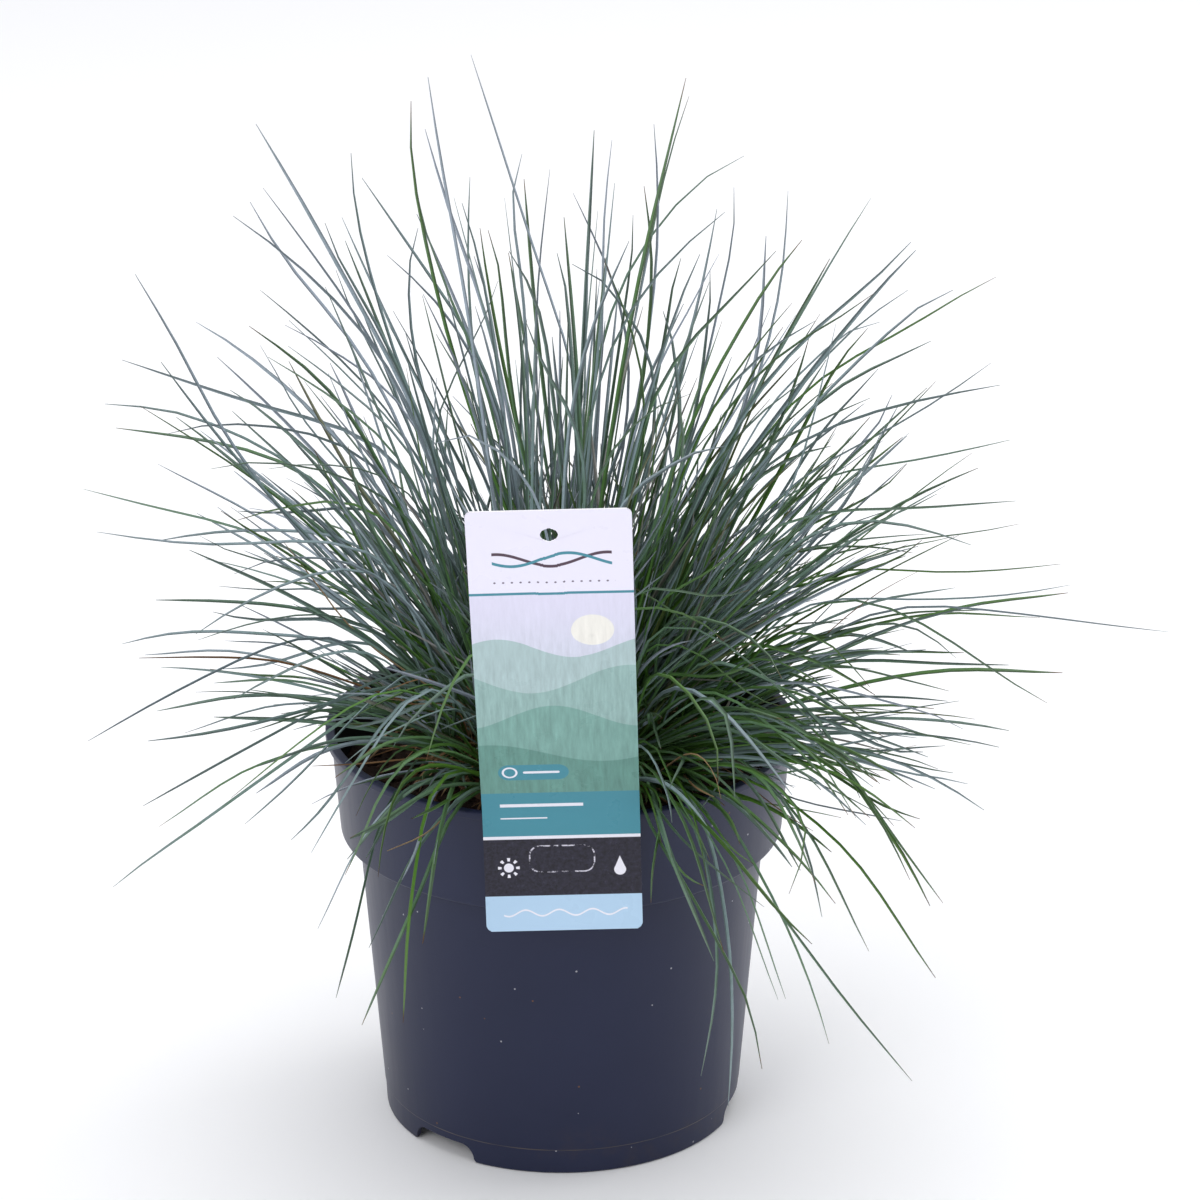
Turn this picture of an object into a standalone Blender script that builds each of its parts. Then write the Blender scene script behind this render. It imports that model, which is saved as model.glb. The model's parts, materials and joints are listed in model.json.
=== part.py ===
"""A clump of blue fescue grass in a round grower's pot, with its plant label.

The pot stands on the XY plane with its axis on Z. The front, where the label hangs on
the rim, faces -Y. Run with: blender --background --python part.py
"""

import math
from itertools import product

import bmesh
import bpy
import numpy as np
from mathutils import Matrix, Vector, noise
from mathutils.bvhtree import BVHTree

MM = 0.001
UP = Vector((0.0, 0.0, 1.0))
GAP = 0.35 * MM

# Pot: outer sizes of a 19 cm grower's container
POT_SEGMENTS = 48
FOOT_RADIUS = 72.5 * MM
FOOT_WALL = 2.0 * MM
FOOT_HEIGHT = 9.5 * MM
FOOT_DISC_RADIUS = 13.5 * MM
CREASE_HEIGHT = 10.7 * MM
FLOOR_HEIGHT = 12.0 * MM
BODY_TOP_RADIUS = 82.3 * MM
BODY_TOP = 122.0 * MM
COLLAR_RADIUS = 89.4 * MM
COLLAR_BOTTOM = 122.8 * MM
COLLAR_TOP_RADIUS = 92.7 * MM
LIP_BOTTOM = 162.0 * MM
LIP_RADIUS = 95.0 * MM
LIP_EASE = 0.8 * MM
RIM_HEIGHT = 165.6 * MM
WALL = 1.5 * MM
LIP_INNER_RADIUS = 91.2 * MM

# Drainage: arched notches in the foot ring, measured from the front, and floor holes
NOTCH_ANGLES = (-41.5, 78.5, 198.5)
NOTCH_HALF_WIDTH = 15.7 * MM
NOTCH_HEIGHT = 7.5 * MM
NOTCH_CORNER = 6.0 * MM
NOTCH_CORNER_POINTS = 4
DRAIN_COUNT = 6
DRAIN_RADIUS = 4.5 * MM
DRAIN_CIRCLE = 52.0 * MM
DRAIN_SIDES = 10

# Soil
SOIL_SEGMENTS = 24
SOIL_TOP = 145.5 * MM
SOIL_WAIST_DROP = 1.0 * MM
SOIL_SHOULDER_RISE = 0.5 * MM
SOIL_LUMP = 2.6 * MM
SOIL_LUMPS_PER_METRE = 60.0
SOIL_RING_SHARES = (0.84, 0.68)
SOIL_FLAT_RADIUS = 50.0 * MM

# Crown: the mound of packed shoot bases
CROWN_SEGMENTS = 20
CROWN_RINGS = 4
CROWN_RADIUS = 45.0 * MM
CROWN_HEIGHT = 30.0 * MM
CROWN_BASE = SOIL_TOP + GAP
CROWN_BARE_SHARE = 0.14

# Plant label: a thin card, upright in front of the rim and leaning out above it
LABEL_WIDTH = 60.7 * MM
LABEL_LENGTH = 212.0 * MM
LABEL_THICKNESS = 0.5 * MM
LABEL_CORNER = 3.0 * MM
LABEL_BOTTOM = 119.0 * MM
LABEL_BACK_Y = -95.8 * MM
LABEL_BEND_START = 40.0 * MM
LABEL_BEND_LENGTH = 16.0 * MM
LABEL_BEND_CUTS = 5
LABEL_LEAN = math.radians(23.6)
LABEL_ROLL = math.radians(-1.5)
LABEL_SHIFT = 0.8 * MM
LABEL_HOLE_RADIUS = 3.3 * MM
LABEL_HOLE_DROP = 12.5 * MM
LABEL_HOLE_SIDES = 12
HOOK_WIDTH = 18.0 * MM
HOOK_THICKNESS = 1.0 * MM
HOOK_START = 60.0 * MM
HOOK_ROOT = 2.4 * MM
HOOK_LIP_Y = -92.0 * MM
HOOK_INSIDE_Y = -88.9 * MM
HOOK_RISE = 1.2 * MM
HOOK_CREST = 1.6 * MM
HOOK_SAG = 0.2 * MM
HOOK_END = SOIL_TOP + 4.5 * MM

# Shoots: each is a four-sided sheath on the crown that carries four leaves, three-sided,
# stiff and tapering to a point
SHEATH_RADIUS = 3.3 * MM
SHEATH_TAPER = 0.86
SHEATH_LENGTH = 7.0 * MM
SHEATH_SIDES = 4
AXIS_LIFT = math.radians(5.0)
LEAF_STATIONS = (0.13, 0.38, 0.68, 1.0)
LEAF_RADII = (1.15 * MM, 1.1 * MM, 0.85 * MM, 0.22 * MM)
PIECE_RADII = (1.8 * MM, *LEAF_RADII[:-1])
LEAVES = (
    # Turn and lift from the leading leaf in degrees, length as a share of it, and the
    # quarter of the sheath that it grows from, counted from the right-hand side upwards
    (0.0, 0.0, 1.0, 3),
    (11.0, 5.0, 0.85, 2),
    (-10.0, 2.0, 0.78, 0),
    (3.0, 12.0, 0.68, 1),
)

# Room round a leaf, and the small turns it may take from its place to get it
LEAF_CLEARANCE = 0.2 * MM
SOIL_CLEARANCE = 5.0 * MM
RIM_CLEARANCE = 6.0 * MM
CROWN_CLEARANCE = 1.06
LABEL_CLEARANCE = 5.0 * MM
LABEL_SIDE_CLEARANCE = 4.5 * MM
SAMPLES_PER_PIECE = 10
SWING_STEP = math.radians(1.5)
SWING_TRIES = 40
LIFT_STEP = math.radians(2.5)
LIFT_TRIES = 11
LIFT_BOW = 0.4
SHORTER = (1.0, 0.85, 0.7)
SIBLING_TEST_START = 0.12

# Tip of each shoot's leading leaf in millimetres (across, back, up) and its bow, which is
# how far the middle stands above the straight line, as a share of the leaf's length
LEADING_LEAVES = (
    # Upper left
    (-119, 30, 407, 0.02), (-124, -30, 388, 0.02), (-160, -50, 371, -0.03),
    (-151, 100, 303, 0.04), (-178, 60, 300, 0.06), (-86, 100, 375, 0.02),
    # Top
    (-58, 40, 414, 0.02), (-50, -20, 440, 0.02), (-34, 20, 438, 0.00),
    (-16, 120, 358, 0.05), (20, 60, 392, 0.02), (49, 0, 434, 0.02),
    (73, 50, 388, 0.06), (93, 110, 356, 0.03),
    # Right
    (122, 30, 377, 0.04), (135, -30, 378, 0.03), (177, 90, 325, 0.03),
    (154, 130, 285, 0.05), (167, -70, 334, 0.05), (186, 100, 251, 0.07),
    (172, -90, 294, 0.06), (209, 100, 196, 0.13), (246, 20, 197, 0.11),
    (188, -80, 208, 0.15), (147, -120, 229, 0.08), (155, -140, 206, 0.14),
    # Hanging over the rim at the right
    (138, -170, 165, 0.20), (130, -200, 107, 0.24), (100, -190, 118, 0.26),
    (63, -200, 104, 0.28),
    # Left
    (-197, 70, 241, 0.08), (-175, -80, 278, 0.06), (-186, 110, 253, 0.07),
    (-157, -50, 239, 0.09), (-184, 80, 168, 0.14), (-182, -80, 192, 0.12),
    (-155, -120, 209, 0.12), (-168, -140, 158, 0.18),
    # Hanging over the rim at the left
    (-121, -160, 203, 0.14), (-83, -180, 131, 0.26), (-57, -190, 125, 0.28),
    # Leaning towards the label, behind it
    (-22, -100, 290, 0.03), (27, -95, 300, 0.03), (4, -60, 360, 0.02),
)

# The rest of the shoots fill the back: their count, and the reach and height of their tips
BACK_SHOOTS = 12
BACK_FIRST_ANGLE = 12.0
BACK_LAST_ANGLE = 168.0
BACK_REACHES = (200 * MM, 120 * MM, 165 * MM, 70 * MM)
BACK_HEIGHTS = (195 * MM, 345 * MM, 265 * MM, 375 * MM)
BACK_BOWS = (0.12, 0.04, 0.08, 0.03)

PEAT = (0.030, 0.018, 0.012, 1.0)
PLASTIC = (0.032, 0.035, 0.058, 1.0)
CARD = (0.72, 0.78, 0.84, 1.0)
SHEATH = (0.16, 0.14, 0.07, 1.0)
LEAF_COLOURS = ((0.12, 0.20, 0.19, 1.0), (0.17, 0.26, 0.27, 1.0), (0.07, 0.15, 0.08, 1.0))


def clear_scene():
    for item in list(bpy.data.objects):
        bpy.data.objects.remove(item, do_unlink=True)


def make_material(name, colour, roughness):
    material = bpy.data.materials.new(name)
    material.use_nodes = True
    shader = material.node_tree.nodes["Principled BSDF"]
    shader.inputs["Base Color"].default_value = colour
    shader.inputs["Roughness"].default_value = roughness
    shader.inputs["Metallic"].default_value = 0.0
    material.diffuse_color = colour
    return material


def add_object(name, bm, material=None, location=(0.0, 0.0, 0.0), parent=None):
    bmesh.ops.recalc_face_normals(bm, faces=bm.faces)
    mesh = bpy.data.meshes.new(name)
    bm.to_mesh(mesh)
    bm.free()
    item = bpy.data.objects.new(name, mesh)
    item.location = location
    item.parent = parent
    bpy.context.collection.objects.link(item)
    if material is not None:
        mesh.materials.append(material)
    return item


def shade_round(item, angle=35.0):
    item.data.shade_smooth()
    item.data.set_sharp_from_angle(angle=math.radians(angle))


def as_helper(item):
    item.hide_render = True
    item.display_type = "WIRE"
    return item


def combine(item, operation, helper):
    modifier = item.modifiers.new(helper.name, "BOOLEAN")
    modifier.operation = operation
    modifier.solver = "EXACT"
    modifier.object = helper


def turned(profile, segments):
    """A profile of (radius, height) points, turned once round Z."""
    bm = bmesh.new()
    points = [bm.verts.new((radius, 0.0, height)) for radius, height in profile]
    edges = [bm.edges.new(pair) for pair in zip(points, points[1:])]
    bmesh.ops.spin(bm, geom=points + edges, cent=(0, 0, 0), axis=UP,
                   angle=math.tau, steps=segments, use_merge=True)
    bmesh.ops.remove_doubles(bm, verts=bm.verts, dist=1e-6)
    return bm


def extruded(outline, offset):
    """A closed outline of 3-D points, extruded along a vector."""
    bm = bmesh.new()
    face = bm.faces.new([bm.verts.new(point) for point in outline])
    made = bmesh.ops.extrude_face_region(bm, geom=[face])["geom"]
    bmesh.ops.translate(bm, vec=offset, verts=[v for v in made if isinstance(v, bmesh.types.BMVert)])
    return bm


# Pot

def pot_profile():
    body_inner = FOOT_RADIUS + (BODY_TOP_RADIUS - FOOT_RADIUS) * FLOOR_HEIGHT / BODY_TOP - WALL
    return (
        (0.0, 0.0), (FOOT_DISC_RADIUS, 0.0), (FOOT_DISC_RADIUS, FOOT_HEIGHT),
        (FOOT_RADIUS - FOOT_WALL, FOOT_HEIGHT), (FOOT_RADIUS - FOOT_WALL, 0.0),
        (FOOT_RADIUS, 0.0), (FOOT_RADIUS + WALL / 2, CREASE_HEIGHT),
        (BODY_TOP_RADIUS, BODY_TOP), (COLLAR_RADIUS, COLLAR_BOTTOM),
        (COLLAR_TOP_RADIUS, LIP_BOTTOM), (LIP_RADIUS, LIP_BOTTOM + LIP_EASE),
        (LIP_RADIUS, RIM_HEIGHT - LIP_EASE / 2), (LIP_RADIUS - LIP_EASE, RIM_HEIGHT),
        (LIP_INNER_RADIUS, RIM_HEIGHT), (COLLAR_RADIUS - WALL, COLLAR_BOTTOM + WALL),
        (BODY_TOP_RADIUS - WALL, COLLAR_BOTTOM), (body_inner, FLOOR_HEIGHT), (0.0, FLOOR_HEIGHT),
    )


def pot_inner_radius(height):
    """Radius of the inside wall of the collar or the body at a height."""
    profile = pot_profile()
    top, shoulder, waist, bottom = profile[13], profile[14], profile[15], profile[16]
    upper, lower = (top, shoulder) if height > shoulder[1] else (waist, bottom)
    share = (height - lower[1]) / (upper[1] - lower[1])
    return lower[0] + (upper[0] - lower[0]) * share


def notch_outline():
    """Arch of one notch, seen along the pot's radius: (sideways, height) points."""
    below = -2.0 * MM
    points = [(-NOTCH_HALF_WIDTH - NOTCH_CORNER / 2, below)]
    for side in (-1, 1):
        centre = side * (NOTCH_HALF_WIDTH - NOTCH_CORNER)
        for step in range(NOTCH_CORNER_POINTS + 1):
            turn = math.pi / 2 * step / NOTCH_CORNER_POINTS
            if side > 0:
                turn = math.pi / 2 - turn
            points.append((centre + side * NOTCH_CORNER * math.cos(turn),
                           NOTCH_HEIGHT - NOTCH_CORNER + NOTCH_CORNER * math.sin(turn)))
    points.append((NOTCH_HALF_WIDTH + NOTCH_CORNER / 2, below))
    return points


def notch_cutter():
    inner, outer = FOOT_RADIUS - 3 * FOOT_WALL, FOOT_RADIUS + 3 * FOOT_WALL
    outline = [(side, -inner, height) for side, height in notch_outline()]
    cutter = bmesh.new()
    for angle in NOTCH_ANGLES:
        bm = extruded(outline, Vector((0.0, inner - outer, 0.0)))
        bmesh.ops.rotate(bm, verts=bm.verts, matrix=Matrix.Rotation(math.radians(angle), 3, "Z"))
        append_mesh(cutter, bm)
    return as_helper(add_object("notch_cutter", cutter))


def drain_cutter():
    cutter = bmesh.new()
    for index in range(DRAIN_COUNT):
        angle = math.tau * (index + 0.5) / DRAIN_COUNT
        spot = Matrix.Translation((DRAIN_CIRCLE * math.cos(angle), DRAIN_CIRCLE * math.sin(angle),
                                   FLOOR_HEIGHT))
        bmesh.ops.create_cone(cutter, cap_ends=True, segments=DRAIN_SIDES, radius1=DRAIN_RADIUS,
                              radius2=DRAIN_RADIUS, depth=FLOOR_HEIGHT, matrix=spot)
    return as_helper(add_object("drain_cutter", cutter))


def append_mesh(target, bm):
    bmesh.ops.recalc_face_normals(bm, faces=bm.faces)
    mesh = bpy.data.meshes.new("piece")
    bm.to_mesh(mesh)
    bm.free()
    target.from_mesh(mesh)
    bpy.data.meshes.remove(mesh)


def build_pot(parent, plastic):
    pot = add_object("pot", turned(pot_profile(), POT_SEGMENTS), plastic, parent=parent)
    combine(pot, "DIFFERENCE", notch_cutter())
    combine(pot, "DIFFERENCE", drain_cutter())
    shade_round(pot)


# Soil and crown

def build_soil(parent, peat):
    bottom = FLOOR_HEIGHT + GAP
    waist = BODY_TOP - SOIL_WAIST_DROP
    shoulder = COLLAR_BOTTOM + WALL + SOIL_SHOULDER_RISE
    top_radius = pot_inner_radius(SOIL_TOP) - GAP
    profile = (
        (0.0, bottom), (pot_inner_radius(bottom) - GAP, bottom),
        (pot_inner_radius(waist) - GAP, waist), (pot_inner_radius(waist) - GAP, shoulder),
        (pot_inner_radius(shoulder) - GAP, shoulder), (top_radius, SOIL_TOP),
        *((share * top_radius, SOIL_TOP) for share in SOIL_RING_SHARES),
        (SOIL_FLAT_RADIUS, SOIL_TOP), (0.0, SOIL_TOP),
    )
    bm = turned(profile, SOIL_SEGMENTS)
    for vert in bm.verts:
        radius = math.hypot(vert.co.x, vert.co.y)
        if vert.co.z > SOIL_TOP - MM and SOIL_FLAT_RADIUS + MM < radius < top_radius - MM:
            vert.co.z += SOIL_LUMP * noise.noise(vert.co * SOIL_LUMPS_PER_METRE)
    shade_round(add_object("soil", bm, peat, parent=parent))


def build_crown(parent, sheath):
    profile = [(0.0, 0.0)]
    for ring in range(CROWN_RINGS + 1):
        turn = math.pi / 2 * ring / CROWN_RINGS
        profile.append((CROWN_RADIUS * math.cos(turn), CROWN_HEIGHT * math.sin(turn)))
    profile[-1] = (0.0, CROWN_HEIGHT)
    crown = add_object("crown", turned(profile, CROWN_SEGMENTS), sheath,
                       (0.0, 0.0, CROWN_BASE), parent)
    shade_round(crown)


# Plant label

def label_back(along):
    """Back of the card at a length from its lower edge, as (y, z), and its lean there."""
    step = 0.5 * MM
    y, z, lean = LABEL_BACK_Y, LABEL_BOTTOM, 0.0
    for index in range(round(along / step)):
        bent = (index * step - LABEL_BEND_START) / LABEL_BEND_LENGTH
        lean = LABEL_LEAN * min(max(bent, 0.0), 1.0)
        y -= step * math.sin(lean)
        z += step * math.cos(lean)
    return y, z, lean


def label_middle(along):
    """Middle of the card's thickness at a length from its lower edge, as (y, z)."""
    y, z, lean = label_back(along)
    return y - math.cos(lean) * LABEL_THICKNESS / 2, z - math.sin(lean) * LABEL_THICKNESS / 2


def label_outline():
    points = []
    half = LABEL_WIDTH / 2
    for corner_x, corner_y, first in ((half, 0, -90), (half, LABEL_LENGTH, 0),
                                      (-half, LABEL_LENGTH, 90), (-half, 0, 180)):
        centre_x = corner_x - math.copysign(LABEL_CORNER, corner_x)
        centre_y = corner_y + (LABEL_CORNER if corner_y == 0 else -LABEL_CORNER)
        for turn in (0, 30, 60, 90):
            angle = math.radians(first + turn)
            points.append((centre_x + LABEL_CORNER * math.cos(angle),
                           centre_y + LABEL_CORNER * math.sin(angle), 0.0))
    return points


def label_card():
    bm = extruded(label_outline(), Vector((0.0, 0.0, LABEL_THICKNESS)))
    for cut in range(LABEL_BEND_CUTS):
        along = LABEL_BEND_START + LABEL_BEND_LENGTH * cut / (LABEL_BEND_CUTS - 1)
        bmesh.ops.bisect_plane(bm, geom=bm.verts[:] + bm.edges[:] + bm.faces[:], dist=1e-7,
                               plane_co=(0.0, along, 0.0), plane_no=(0.0, 1.0, 0.0))
    bmesh.ops.triangulate(bm, faces=[face for face in bm.faces if len(face.verts) > 4])
    for vert in bm.verts:
        y, z, lean = label_back(vert.co.y)
        depth = vert.co.z
        vert.co = (vert.co.x, y - depth * math.cos(lean), z - depth * math.sin(lean))
    return bm


def label_hook():
    """Strip that runs from the card's back over the lip and down inside the pot."""
    inside = HOOK_INSIDE_Y
    over = RIM_HEIGHT + HOOK_RISE
    upper = [label_middle(HOOK_START), (HOOK_LIP_Y, over + HOOK_CREST),
             (inside + HOOK_THICKNESS / 2, over + HOOK_THICKNESS), (inside + HOOK_THICKNESS, over),
             (inside + HOOK_THICKNESS, HOOK_END)]
    lower = [(inside, HOOK_END), (inside, over - HOOK_THICKNESS / 2),
             (HOOK_LIP_Y, over - HOOK_SAG), label_middle(HOOK_START - HOOK_ROOT)]
    outline = [(-HOOK_WIDTH / 2, y, z) for y, z in upper + lower]
    return extruded(outline, Vector((HOOK_WIDTH, 0.0, 0.0)))


def build_label(parent, card):
    pivot = Vector((0.0, LABEL_BACK_Y, RIM_HEIGHT))
    aside = Vector((LABEL_SHIFT, 0.0, 0.0))
    roll = Matrix.Translation(pivot + aside) @ Matrix.Rotation(LABEL_ROLL, 4, "Y") \
        @ Matrix.Translation(-pivot)
    label = add_object("plant_label", label_card(), card, parent=parent)
    hook = as_helper(add_object("label_hook", label_hook()))
    y, z, lean = label_back(LABEL_LENGTH - LABEL_HOLE_DROP)
    punch = bmesh.new()
    bmesh.ops.create_cone(punch, cap_ends=True, segments=LABEL_HOLE_SIDES, radius1=LABEL_HOLE_RADIUS,
                          radius2=LABEL_HOLE_RADIUS, depth=20 * LABEL_THICKNESS,
                          matrix=Matrix.Translation((0.0, y, z))
                          @ Matrix.Rotation(math.pi / 2 + lean, 4, "X"))
    hole = as_helper(add_object("label_punch", punch))
    for item in (label, hook, hole):
        item.matrix_local = roll
    combine(label, "UNION", hook)
    combine(label, "DIFFERENCE", hole)


# Shoots

def crown_sites(count):
    """Places on the crown, evenly spread in a spiral: (position, outward direction)."""
    golden = math.pi * (3.0 - math.sqrt(5.0))
    sites = []
    for index in range(count):
        height = 1.0 - (1.0 - CROWN_BARE_SHARE) * (index + 0.5) / count
        radius = math.sqrt(1.0 - height * height)
        side = Vector((math.cos(index * golden), math.sin(index * golden), 0.0))
        spot = side * radius * CROWN_RADIUS + UP * height * CROWN_HEIGHT
        outward = (side * radius / CROWN_RADIUS + UP * height / CROWN_HEIGHT).normalized()
        sites.append((spot + UP * CROWN_BASE + outward * GAP, outward))
    return sites


def leading_tips():
    """Tip and bow of every leading leaf, lowest first, the back's worked out by rule."""
    tips = [(Vector(row[:3]) * MM, row[3]) for row in LEADING_LEAVES]
    for index in range(BACK_SHOOTS):
        angle = BACK_FIRST_ANGLE + (BACK_LAST_ANGLE - BACK_FIRST_ANGLE) * index / (BACK_SHOOTS - 1)
        kind = index % len(BACK_REACHES)
        side = Vector((math.cos(math.radians(angle)), math.sin(math.radians(angle)), 0.0))
        tips.append((side * BACK_REACHES[kind] + UP * BACK_HEIGHTS[kind], BACK_BOWS[kind]))
    return sorted(tips, key=lambda tip: tip[0].z / (tip[0].xy.length + CROWN_RADIUS))


def leaf_path(start, reach, bow):
    """Centres of the leaf's stations along a shallow arch."""
    rise = 4.0 * bow * reach.length
    return [start + reach * share + UP * rise * share * (1.0 - share) for share in LEAF_STATIONS]


def leaf_rings(ring, heading, centres):
    """Three-cornered rings of a leaf, from one on the sheath down to the tip."""
    middle = sum(ring, Vector()) / len(ring)
    offsets = [(corner - middle).normalized() for corner in ring]
    rings = [ring]
    for centre, radius in zip(centres, LEAF_RADII):
        direction = (centre - middle).normalized()
        turn = heading.rotation_difference(direction)
        offsets = [turn @ offset for offset in offsets]
        rings.append([centre + offset * radius for offset in offsets])
        heading, middle = direction, centre
    return rings


def side_faces(ring_count):
    """Corner numbers of the faces between rings of three corners."""
    return [(3 * ring + corner, 3 * ring + (corner + 1) % 3,
             3 * ring + 3 + (corner + 1) % 3, 3 * ring + 3 + corner)
            for ring in range(ring_count - 1) for corner in range(3)]


def leaf_wall(rings):
    """The leaf's sides as a search tree, from a little above the sheath."""
    low = [corner.lerp(above, SIBLING_TEST_START) for corner, above in zip(rings[0], rings[1])]
    corners = [corner for ring in (low, *rings[1:]) for corner in ring]
    return BVHTree.FromPolygons(corners, side_faces(len(rings)))


def segment_gaps(start_a, end_a, start_b, end_b):
    """Least distance from one straight piece to each of many others."""
    along_a, along_b = end_a - start_a, end_b - start_b
    between = start_a - start_b
    aa, bb = along_a @ along_a, np.einsum("ij,ij->i", along_b, along_b)
    ab, ac = along_b @ along_a, between @ along_a
    bc = np.einsum("ij,ij->i", along_b, between)
    spread = np.maximum(aa * bb - ab * ab, 1e-12)
    share_a = np.clip((ab * bc - ac * bb) / spread, 0.0, 1.0)
    share_b = np.clip((ab * share_a + bc) / bb, 0.0, 1.0)
    share_a = np.clip((ab * share_b - ac) / aa, 0.0, 1.0)
    nearest = between + share_a[:, None] * along_a - share_b[:, None] * along_b
    return np.linalg.norm(nearest, axis=1)


class Neighbours:
    """Straight pieces of what stands already: ends, radius, shoot and order in the leaf."""

    def __init__(self):
        self.pieces = np.empty((0, 9))

    def add(self, points, radii, shoot):
        rows = [(*start, *end, radius, shoot, order)
                for order, (start, end, radius) in enumerate(zip(points, points[1:], radii))]
        self.pieces = np.vstack((self.pieces, rows))

    def are_clear_of(self, points, radii, shoot):
        """Pieces that start at the same sheath aren't compared."""
        for order, (start, end, radius) in enumerate(zip(points, points[1:], radii)):
            sheath_mates = (self.pieces[:, 7] == shoot) & (self.pieces[:, 8] * order == 0)
            rows = self.pieces[~sheath_mates]
            gaps = segment_gaps(np.array(start), np.array(end), rows[:, 0:3], rows[:, 3:6])
            if np.any(gaps < rows[:, 6] + radius + LEAF_CLEARANCE):
                return False
        return True


def clears_the_rest(points):
    """True if a leaf stays off the floor, soil, rim, crown and label."""
    for start, end in zip(points, points[1:]):
        for index in range(SAMPLES_PER_PIECE):
            spot = start.lerp(end, (index + 1) / SAMPLES_PER_PIECE)
            radius = spot.xy.length
            over_soil = radius < LIP_INNER_RADIUS
            if spot.z < (SOIL_TOP if over_soil else 0.0) + SOIL_CLEARANCE:
                return False
            near_rim = LIP_INNER_RADIUS - RIM_CLEARANCE < radius < LIP_RADIUS + RIM_CLEARANCE
            if near_rim and LABEL_BOTTOM < spot.z < RIM_HEIGHT + RIM_CLEARANCE / 2:
                return False
            dome = (radius / CROWN_RADIUS) ** 2 + ((spot.z - CROWN_BASE) / CROWN_HEIGHT) ** 2
            if spot.z > CROWN_BASE and dome < CROWN_CLEARANCE:
                return False
            if label_is_near(spot):
                return False
    return True


def label_is_near(spot):
    middle = LABEL_SHIFT + (spot.z - RIM_HEIGHT) * math.tan(LABEL_ROLL)
    bend = LABEL_BOTTOM + LABEL_BEND_START
    top = bend + (LABEL_LENGTH - LABEL_BEND_START) * math.cos(LABEL_LEAN)
    back = LABEL_BACK_Y - max(spot.z - bend, 0.0) * math.tan(LABEL_LEAN)
    return LABEL_BOTTOM - LABEL_CLEARANCE < spot.z < top + LABEL_CLEARANCE \
        and spot.y < back + LABEL_CLEARANCE \
        and abs(spot.x - middle) < LABEL_WIDTH / 2 + LABEL_SIDE_CLEARANCE


def to_and_fro(step, tries):
    """Steps to one side and the other by turns, nearest first: 0, 1, -1, 2, -2, ..."""
    return [step * ((index + 1) // 2) * (-1) ** (index + 1) for index in range(tries)]


class Shoot:
    """A sheath that stands on the crown, and the leaves that have grown from it."""

    def __init__(self, number, site, tip, bow):
        self.number, self.bow = number, bow
        self.spot, outward = site
        self.reach = tip - self.spot
        self.side = self.reach.cross(UP).normalized()
        start = self.reach + UP * 4.0 * bow * self.reach.length
        self.axis = (Matrix.Rotation(AXIS_LIFT, 3, self.side) @ start).normalized()
        upward = self.side.cross(self.axis)
        self.neck = self.spot + (outward + self.axis) * SHEATH_LENGTH / 2
        level = self.axis.rotation_difference(outward)
        self.base, self.top = [], []
        for corner in range(SHEATH_SIDES):
            angle = math.tau * (corner - 0.5) / SHEATH_SIDES
            spoke = SHEATH_RADIUS * (self.side * math.cos(angle) + upward * math.sin(angle))
            self.base.append(self.spot + level @ spoke)
            self.top.append(self.neck + SHEATH_TAPER * spoke)
        self.leaves = {}
        self.walls = []

    def grow(self, turn, lift, share, quarter, others):
        """Grow one leaf, swung, lifted and shortened until it meets nothing."""
        ring = [self.neck, self.top[quarter], self.top[(quarter + 1) % SHEATH_SIDES]]
        start = sum(ring, Vector()) / len(ring)
        for shorter in SHORTER:
            for more_lift, swing in product(to_and_fro(LIFT_STEP, LIFT_TRIES),
                                            to_and_fro(SWING_STEP, SWING_TRIES)):
                turned_reach = Matrix.Rotation(math.radians(turn) + swing, 3, "Z") @ \
                    Matrix.Rotation(math.radians(lift) + more_lift, 3, self.side) @ self.reach
                reach = self.spot + turned_reach * share * shorter - start
                path = leaf_path(start, reach, (self.bow + abs(more_lift) * LIFT_BOW) * share)
                if not clears_the_rest(path) \
                        or not others.are_clear_of([start] + path, PIECE_RADII, self.number):
                    continue
                rings = leaf_rings(ring, self.axis, path)
                wall = leaf_wall(rings)
                if not any(wall.overlap(other) for other in self.walls):
                    self.leaves[quarter] = rings
                    self.walls.append(wall)
                    others.add([start] + path, PIECE_RADII, self.number)
                    return

    def build(self, material, parent):
        bm = bmesh.new()
        base = [bm.verts.new(corner - self.spot) for corner in self.base]
        top = [bm.verts.new(corner - self.spot) for corner in self.top]
        middle = bm.verts.new(self.neck - self.spot)
        bm.faces.new(base[::-1])
        for quarter in range(SHEATH_SIDES):
            after = (quarter + 1) % SHEATH_SIDES
            bm.faces.new((base[quarter], base[after], top[after], top[quarter]))
            corners = [middle, top[quarter], top[after]]
            if quarter in self.leaves:
                rings = self.leaves[quarter]
                corners += [bm.verts.new(corner - self.spot) for ring in rings[1:] for corner in ring]
                for side in side_faces(len(rings)):
                    bm.faces.new([corners[number] for number in side])
            bm.faces.new(corners[-3:])
        add_object(f"tuft_{self.number:02d}", bm, material, self.spot, parent)


def build_shoots(parent, materials):
    tips = leading_tips()
    sites = crown_sites(len(tips))
    others = Neighbours()
    shoots = []
    for number, (tip, bow) in enumerate(tips, 1):
        heading = (tip - UP * CROWN_BASE).normalized()
        site = max(sites, key=lambda place: place[1].dot(heading))
        sites.remove(site)
        shoots.append(Shoot(number, site, tip, bow))
        others.add([shoots[-1].spot, shoots[-1].neck], [SHEATH_RADIUS], number)
    for leaf in LEAVES:
        for shoot in shoots:
            shoot.grow(*leaf, others)
    for shoot in shoots:
        shoot.build(materials[shoot.number % len(materials)], parent)


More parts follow.
